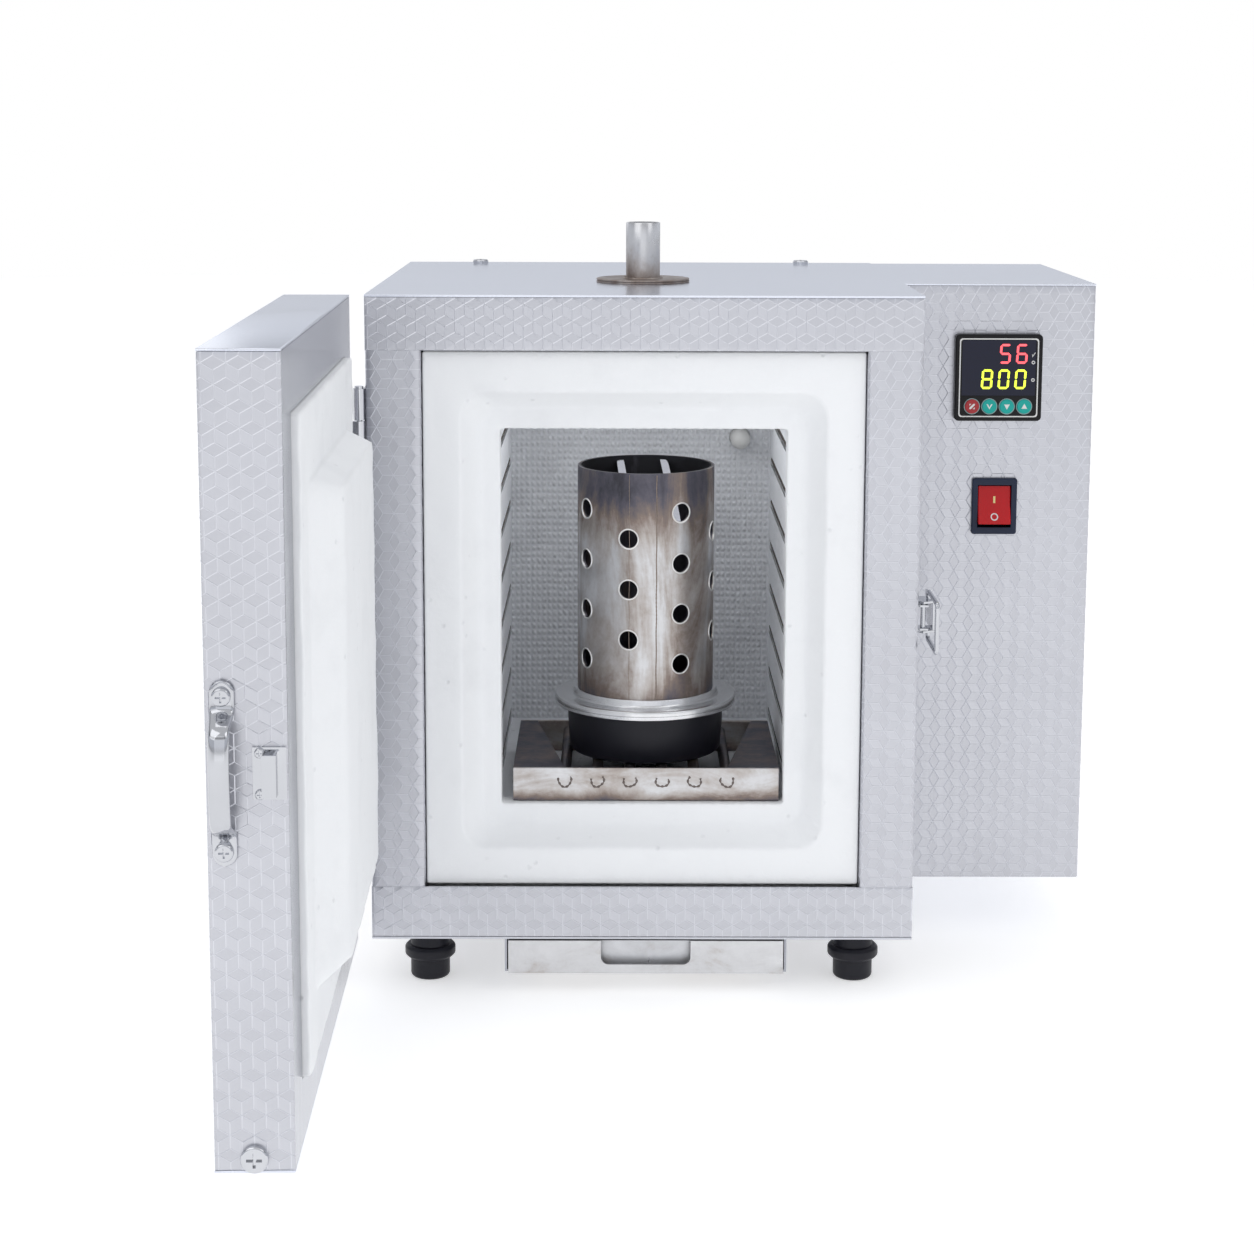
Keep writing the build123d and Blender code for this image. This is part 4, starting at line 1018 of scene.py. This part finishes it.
def makeFlask():
    f = flask
    low = nodeBox("flask_flange")[0][2]
    high = nodeBox("flask_shell")[1][2]
    at = (f["x"], f["y"], 0.0)
    inner = f["radius"] + 0.05
    a, b, top = low, low + f["flangeHigh"], low + f["flangeHigh"] + f["stepHigh"]
    profile = [(inner, a), (f["flange"] - 0.7, a)] + arcPoints((f["flange"] - 0.7, a + 0.7), 0.7, -90, 0)
    profile += [(f["flange"], a + 2.2), (f["flange"] - 0.5, a + 2.35), (f["flange"] - 0.5, a + 2.75),
                (f["flange"], a + 2.9)]
    profile += arcPoints((f["flange"] - 0.9, b - 0.9), 0.9, 0, 90)
    profile += [(f["flange"] - 4.0, b), (45.0, b - 0.25)]
    profile += arcPoints((f["step"] + 2.0, b + 1.6), 1.8, -90, -170)
    profile += arcPoints((f["step"] - 0.5, top - 0.5), 0.5, 0, 90) + [(inner, top)]
    addPiece("flaskFlange", lathe(profile, at, 128, closed=True), "flask", finish["flange"],
             ("flask_flange",), sharp=40)
    rims, step = [], low + f["flangeHigh"] + f["stepHigh"]
    for column in range(f["columns"]):
        turn = math.radians(360 / f["columns"] * column - 60 - 90)
        start = high - (22 if column % 2 == 0 else 22 + f["pitch"] / 2)
        count = int((start - step - f["hole"] - 4) / f["pitch"]) + 1
        a, b = around(36)[:, None], around(6)[None, :]
        for i in range(count):
            r = f["hole"] + 0.42 + 0.50 * np.cos(b)
            across, up = r * np.cos(a), r * np.sin(a)
            shell = f["radius"] - 0.02 + 0.50 * np.sin(b) + 0 * a
            bent = turn + across / f["radius"]
            z = start - i * f["pitch"] + up
            points = np.stack([f["x"] + shell * np.cos(bent), f["y"] + shell * np.sin(bent), z], -1)
            rims.append(ringShell(points, True))
    addPiece("flaskHoleRims", together(rims), "flask", finish["rim"], sharp=70)
    seams = []
    for k, degrees in enumerate(f["seams"]):
        turn = math.radians(degrees - 90)
        z = np.linspace(step + 0.6, high - 0.8, 160)
        size = (0.34, 0.20)[k]
        lump = 1 + 0.25 * np.sin(z * 4.1) * np.sin(z * 1.3 + k)
        path = np.stack([f["x"] + (f["radius"] - 0.05) * math.cos(turn) + 0.10 * np.sin(z * 0.31),
                         np.full_like(z, f["y"] + (f["radius"] - 0.05) * math.sin(turn)), z], -1)
        seams.append(weldBead(path, size, lump))
    addPiece("flaskSeams", together(seams), "flask", finish["seam"], sharp=70)
    strips = []
    for x0, x1 in ((-14.5, -8.5), (10.5, 17.5)):
        t = np.linspace(0, 1, 14)
        path = np.stack([f["x"] + x0 + (x1 - x0) * t, f["y"] + 33.0 - 52.0 * t,
                         high - 2.6 - 26.0 * t - 3 * t * t], -1)
        strips.append(carry(path, roundRect(2.4, 0.6, 0.5, 3, 2), (0, 0.4, 1)))
    addPiece("flaskStrips", together(strips), "flask", finish["inner"], sharp=50)
    low, high = nodeBox("sprue_base")
    radius = (high[0] - low[0]) / 2
    a, b = low[2], high[2]
    profile = [(0.01, a), (radius - 4.0, a)] + arcPoints((radius - 3.4, a + 2.2), 2.2, -90, -10, 6)
    profile += [(radius - 0.6, a + 9.0), (radius - 0.1, a + 17.0), (radius, b - 3.0)]
    profile += arcPoints((radius - 1.2, b - 1.2), 1.2, 0, 90)
    profile += [(radius - 4.0, b), (radius - 4.6, b - 0.5), (0.01, b - 0.5)]
    addPiece("sprueBase", lathe(profile, at, 96), "sprue_base", finish["rubber"],
             ("sprue_base",), sharp=50)


grate = {"front": 23.0, "rodZ": 82.0, "pitch": 17.6, "rods": 6, "mark": 3.5}


def makeGrate():
    marks = []
    for i in range(grate["rods"]):
        x = flask["x"] + (i - 2.5) * grate["pitch"]
        rng = np.random.default_rng(40 + i)
        t = np.radians(np.linspace(150 + rng.uniform(-15, 15), 390 + rng.uniform(-15, 15), 30))
        r = grate["mark"] * (1 + 0.07 * np.sin(3 * t + i))
        path = np.stack([x + r * np.cos(t), np.full_like(t, grate["front"] + 0.12),
                         grate["rodZ"] - 0.6 + r * np.sin(t)], -1)
        marks.append(weldBead(path, 0.58, 1 + 0.35 * np.sin(t * 9 + i)))
    addPiece("grateWelds", together(marks), "grate", finish["weld"], sharp=70)
    soften("grate_end_bars", "grateEndBars", 0.3, finish["grateFront"], "grate")
    soften("grate_shelves", "grateShelves", 0.3, finish["grate"], "grate")
    soften("drip_tray", "dripTray", 0.25, finish["tray"], "drip_tray")


makeFlask()
makeGrate()
print("flask and grate made")


# Handle, hinges and latch
handle = {"z": 172.5, "y": -27.85, "side": 145.0, "halfLength": 39.0, "halfWidth": 5.15}


def makeHandle():
    h = handle
    s = np.array([(-39.0, 1.25), (-36.0, 1.25), (-30.5, 1.25), (-26.5, 1.6), (-24.3, 3.4), (-22.8, 6.4),
                  (-21.0, 9.8), (-18.4, 12.2), (-14.5, 13.2), (-8.0, 13.9), (0.0, 14.2)])
    s = np.concatenate([s, s[-2::-1] * (-1, 1)])
    f = np.linspace(0, len(s) - 1, 90)
    whole = np.minimum(f.astype(int), len(s) - 2)
    line = s[whole] * (1 - (f - whole))[:, None] + s[whole + 1] * (f - whole)[:, None]
    for _ in range(3):
        line[1:-1] = (line[:-2] + line[1:-1] * 2 + line[2:]) / 4
    path = np.column_stack([h["side"] + line[:, 1], np.full(len(line), h["y"]), h["z"] + line[:, 0]])
    ahead = np.gradient(path, axis=0)
    ahead /= np.linalg.norm(ahead, axis=1, keepdims=True)
    out = np.cross(ahead, np.array([0.0, 1.0, 0.0]))
    out *= np.sign(out[:, :1] + 1e-9)
    across = np.array([0.0, 1.0, 0.0])
    lift = np.clip((line[:, 1] - 1.25) / 9, 0, 1)[:, None]
    end = np.clip((h["halfLength"] - abs(line[:, 0])) / h["halfWidth"], 0, 1)
    wide = (h["halfWidth"] * np.sqrt(np.maximum(1 - (1 - end) ** 2, 0.003)))[:, None] * (1 - 0.16 * lift)
    a = around(18)[None, :]
    c, q = np.cos(a), np.sin(a)
    u = np.sign(c) * abs(c) ** 0.75 * wide
    crown = 1.2 + lift * 0.6
    v = np.where(q > 0, q * crown, q * 1.2)
    rings = path[:, None] + across * u[..., None] + out[:, None] * v[..., None]
    addPiece("doorHandle", ringShell(rings), "door", finish["bright"], ("door_handle",),
             onDoor=True, sharp=60)
    for node, name, width, body in (("strike_plate", "strikePlate", 0.3, "door"),
                                    ("latch_base", "latchBase", 0.3, "cabinet"),
                                    ("latch_lever", "latchLever", 0.3, "latch_lever"),
                                    ("hinge_leaves_door", "hingeLeavesDoor", 0.25, "door"),
                                    ("hinge_leaves_body", "hingeLeavesBody", 0.25, "cabinet")):
        soften(node, name, width, finish["bright"], body)


makeHandle()
for node, name, width, look, slot in (
        ("top_cover", "topCover", 0.5, "plain", "plain_sheet"),
        ("back_panel", "backPanel", 0.4, "dull", "plain_sheet"),
        ("base_pan", "basePan", 0.4, "dull", "plain_sheet"),
        ("control_box_cover", "controlBoxCover", 0.45, "plain", "plain_sheet"),
        ("rubber_feet", "rubberFeet", 0.4, "rubber", "black_rubber"),
        ("controller_case", "controllerCase", 0.3, "blackPlastic", "black_plastic"),
        ("rocker_frame", "rockerFrame", 0.3, "navy", "navy_plastic")):
    soften(node, name, width, finish[look], "cabinet")
soften("rocker", "rockerCap", 0.5, finish["red"], "rocker", 3)
print("handle, latch and fittings made")


# The controller's figures and marks
meterFace = {"x": 198.0, "z": 294.0, "y": 90.0, "windowY": 90.2, "digitW": 6.3, "digitH": 11.0, "bar": 1.25,
             "slant": 0.06}


def barShape(start, end, thick):
    # A figure's bar: a long hexagon from start to end.
    start, end = np.array(start, float), np.array(end, float)
    way = (end - start) / np.linalg.norm(end - start)
    off = np.array([-way[1], way[0]]) * thick / 2
    tip = way * thick / 2
    return np.array([start, start + tip + off, end - tip + off, end, end - tip - off, start + tip - off])


def digitBars(text, right, low):
    # Seven-bar figures that end at right and stand on low.
    m = meterFace
    w, h, gap = m["digitW"] - m["bar"], m["digitH"] - m["bar"], 0.12
    spots = {"a": ((0, h), (w, h)), "b": ((w, h), (w, h / 2)), "c": ((w, h / 2), (w, 0)),
             "d": ((0, 0), (w, 0)), "e": ((0, 0), (0, h / 2)), "f": ((0, h / 2), (0, h)),
             "g": ((0, h / 2), (w, h / 2))}
    lit = {"0": "abcdef", "5": "afgcd", "6": "afgcde", "8": "abcdefg"}
    bars = []
    for i, figure in enumerate(text):
        x = right - m["digitW"] - (len(text) - 1 - i) * 9.3 + m["bar"] / 2
        for bar in lit[figure]:
            a, b = np.array(spots[bar], float)
            way = (b - a) / np.linalg.norm(b - a)
            outline = barShape(a + way * gap, b - way * gap, m["bar"])
            outline[:, 0] += x + outline[:, 1] * m["slant"]
            outline[:, 1] += low + m["bar"] / 2
            bars.append(prism(outline, m["windowY"] - 0.14, m["windowY"] + 0.05))
    return together(bars)


def makeMarks():
    m = meterFace
    x, z, y = m["x"], m["z"], m["y"]
    addPiece("upperFigures", digitBars("56", x + 15.6, z + 7.9), "cabinet", finish["redGlow"])
    addPiece("lowerFigures", digitBars("800", x + 15.0, z - 6.3), "cabinet", finish["limeGlow"])
    line = []
    for size in (22.0, 21.35):
        line.append(np.array([(x + p[0], y - 0.10, z + p[1]) for p in roundRect(size, size, 1.6, 5, 4)]))
    back = [r + (0, 0.4, 0) for r in line[::-1]]
    addPiece("meterLine", ringShell(np.array(line + back), True), "cabinet", finish["white"])
    addPiece("meterDivider", block((x - 20.2, y + 0.02, z - 10.75), (x + 20.2, y + 0.5, z - 10.25)),
             "cabinet", finish["pink"])
    small = [torus((x + 19.1, m["windowY"] - 0.04, z + 8.6), 0.75, 0.26, "y", 0.5, 16, 6),
             torus((x + 19.1, m["windowY"] - 0.04, z - 1.2), 0.75, 0.26, "y", 0.5, 16, 6)]
    for a, b in (((18.2, 13.0), (19.0, 12.2)), ((20.1, 14.2), (18.4, 11.6))):
        small.append(prism(barShape((x + a[0], z + a[1]), (x + b[0], z + b[1]), 0.35), m["windowY"] - 0.12,
                           m["windowY"] + 0.05))
    addPiece("meterMarks", together(small), "cabinet", finish["white"])
    for i in range(4):
        low, high = nodeBox(f"key_{i + 1}")
        cx, cz, face = (low[0] + high[0]) / 2, (low[2] + high[2]) / 2, low[1]
        if i == 0:
            shapes = [np.array([(-1.5, -1.5), (-0.7, -1.5), (1.5, 0.7), (1.5, 1.5), (0.7, 1.5),
                                (-1.5, -0.7)]),
                      np.array([(-1.5, 0.4), (-1.5, 1.5), (-0.4, 1.5)]),
                      np.array([(0.4, -1.5), (1.5, -1.5), (1.5, -0.4)])]
        elif i == 1:
            shapes = [np.array([(-1.7, 1.3), (0.0, -1.6), (1.7, 1.3), (0.9, 1.3), (0.0, -0.4), (-0.9, 1.3)])]
        else:
            up = 1 if i == 3 else -1
            shapes = [np.array([(-1.6, -1.2), (1.6, -1.2), (0.0, 1.7)]) * (1, up)]
        piece = together([prism(s + (cx, cz), face - 0.08, face + 0.4) for s in shapes])
        addPiece(f"key{i + 1}Mark", piece, f"key_{i + 1}", finish["white"])
        ring = torus((cx, y + 0.05, cz), 4.25, 0.28, "y", 0.7, 40, 8)
        addPiece(f"key{i + 1}Ring", ring, "cabinet", finish["keyRing"])
    tilt, pivot = math.radians(-10), np.array([x, 97.5, 221.0])

    def onRocker(shell):
        points = shell[0].copy()
        up = points[:, 2].copy()
        points[:, 1] += np.where(up < 0, -3.1 - 1.4 * (-up) / 11, -3.1 - 1.4 * up / 11)
        c, q = math.cos(tilt), math.sin(tilt)
        turned = np.stack([points[:, 0], points[:, 1] * c - points[:, 2] * q,
                           points[:, 1] * q + points[:, 2] * c], -1)
        return turned + pivot, shell[1]

    bar = prism([(-0.6, 1.2), (0.6, 1.2), (0.6, 5.0), (-0.6, 5.0)], -0.1, 0.4)
    addPiece("rockerBarMark", onRocker(bar), "rocker", finish["cream"])
    ring = torus((0.0, 0.05, -6.6), 1.8, 0.42, "y", 0.4, 32, 6)
    addPiece("rockerRingMark", onRocker(ring), "rocker", finish["white"])


makeMarks()
print("marks made")

for node, look in {
    "casing_screws": "bright", "foot_screws": "bright", "door_screws": "bright", "hinge_pins": "bright",
    "latch_loop": "bright", "door_liner": "inner", "tray_runners": "inner", "drain_tube": "grate",
    "grate_rods": "grate", "chamber_wall_left": "chamberFibre", "chamber_wall_right": "chamberFibre",
    "chamber_roof": "chamberFibre", "chamber_wall_back": "hotFibre", "chamber_floor": "hotFibre",
    "insulation_wrap": "blanket", "insulation_bottom": "blanket", "insulation_back": "blanket",
    "thermocouple_sheath": "ceramic", "thermocouple_head": "blackPlastic", "terminal_block": "blackPlastic",
    "solid_state_relay": "relay", "cable_gland": "blackPlastic", "controller_window": "window",
    "flask_shell": "flask", "key_1": "keyRed", "key_2": "keyTeal", "key_3": "keyTeal", "key_4": "keyTeal",
}.items():
    mesh = frame["nodes"][node].data
    mesh.materials.clear()
    mesh.materials.append(finish[look])
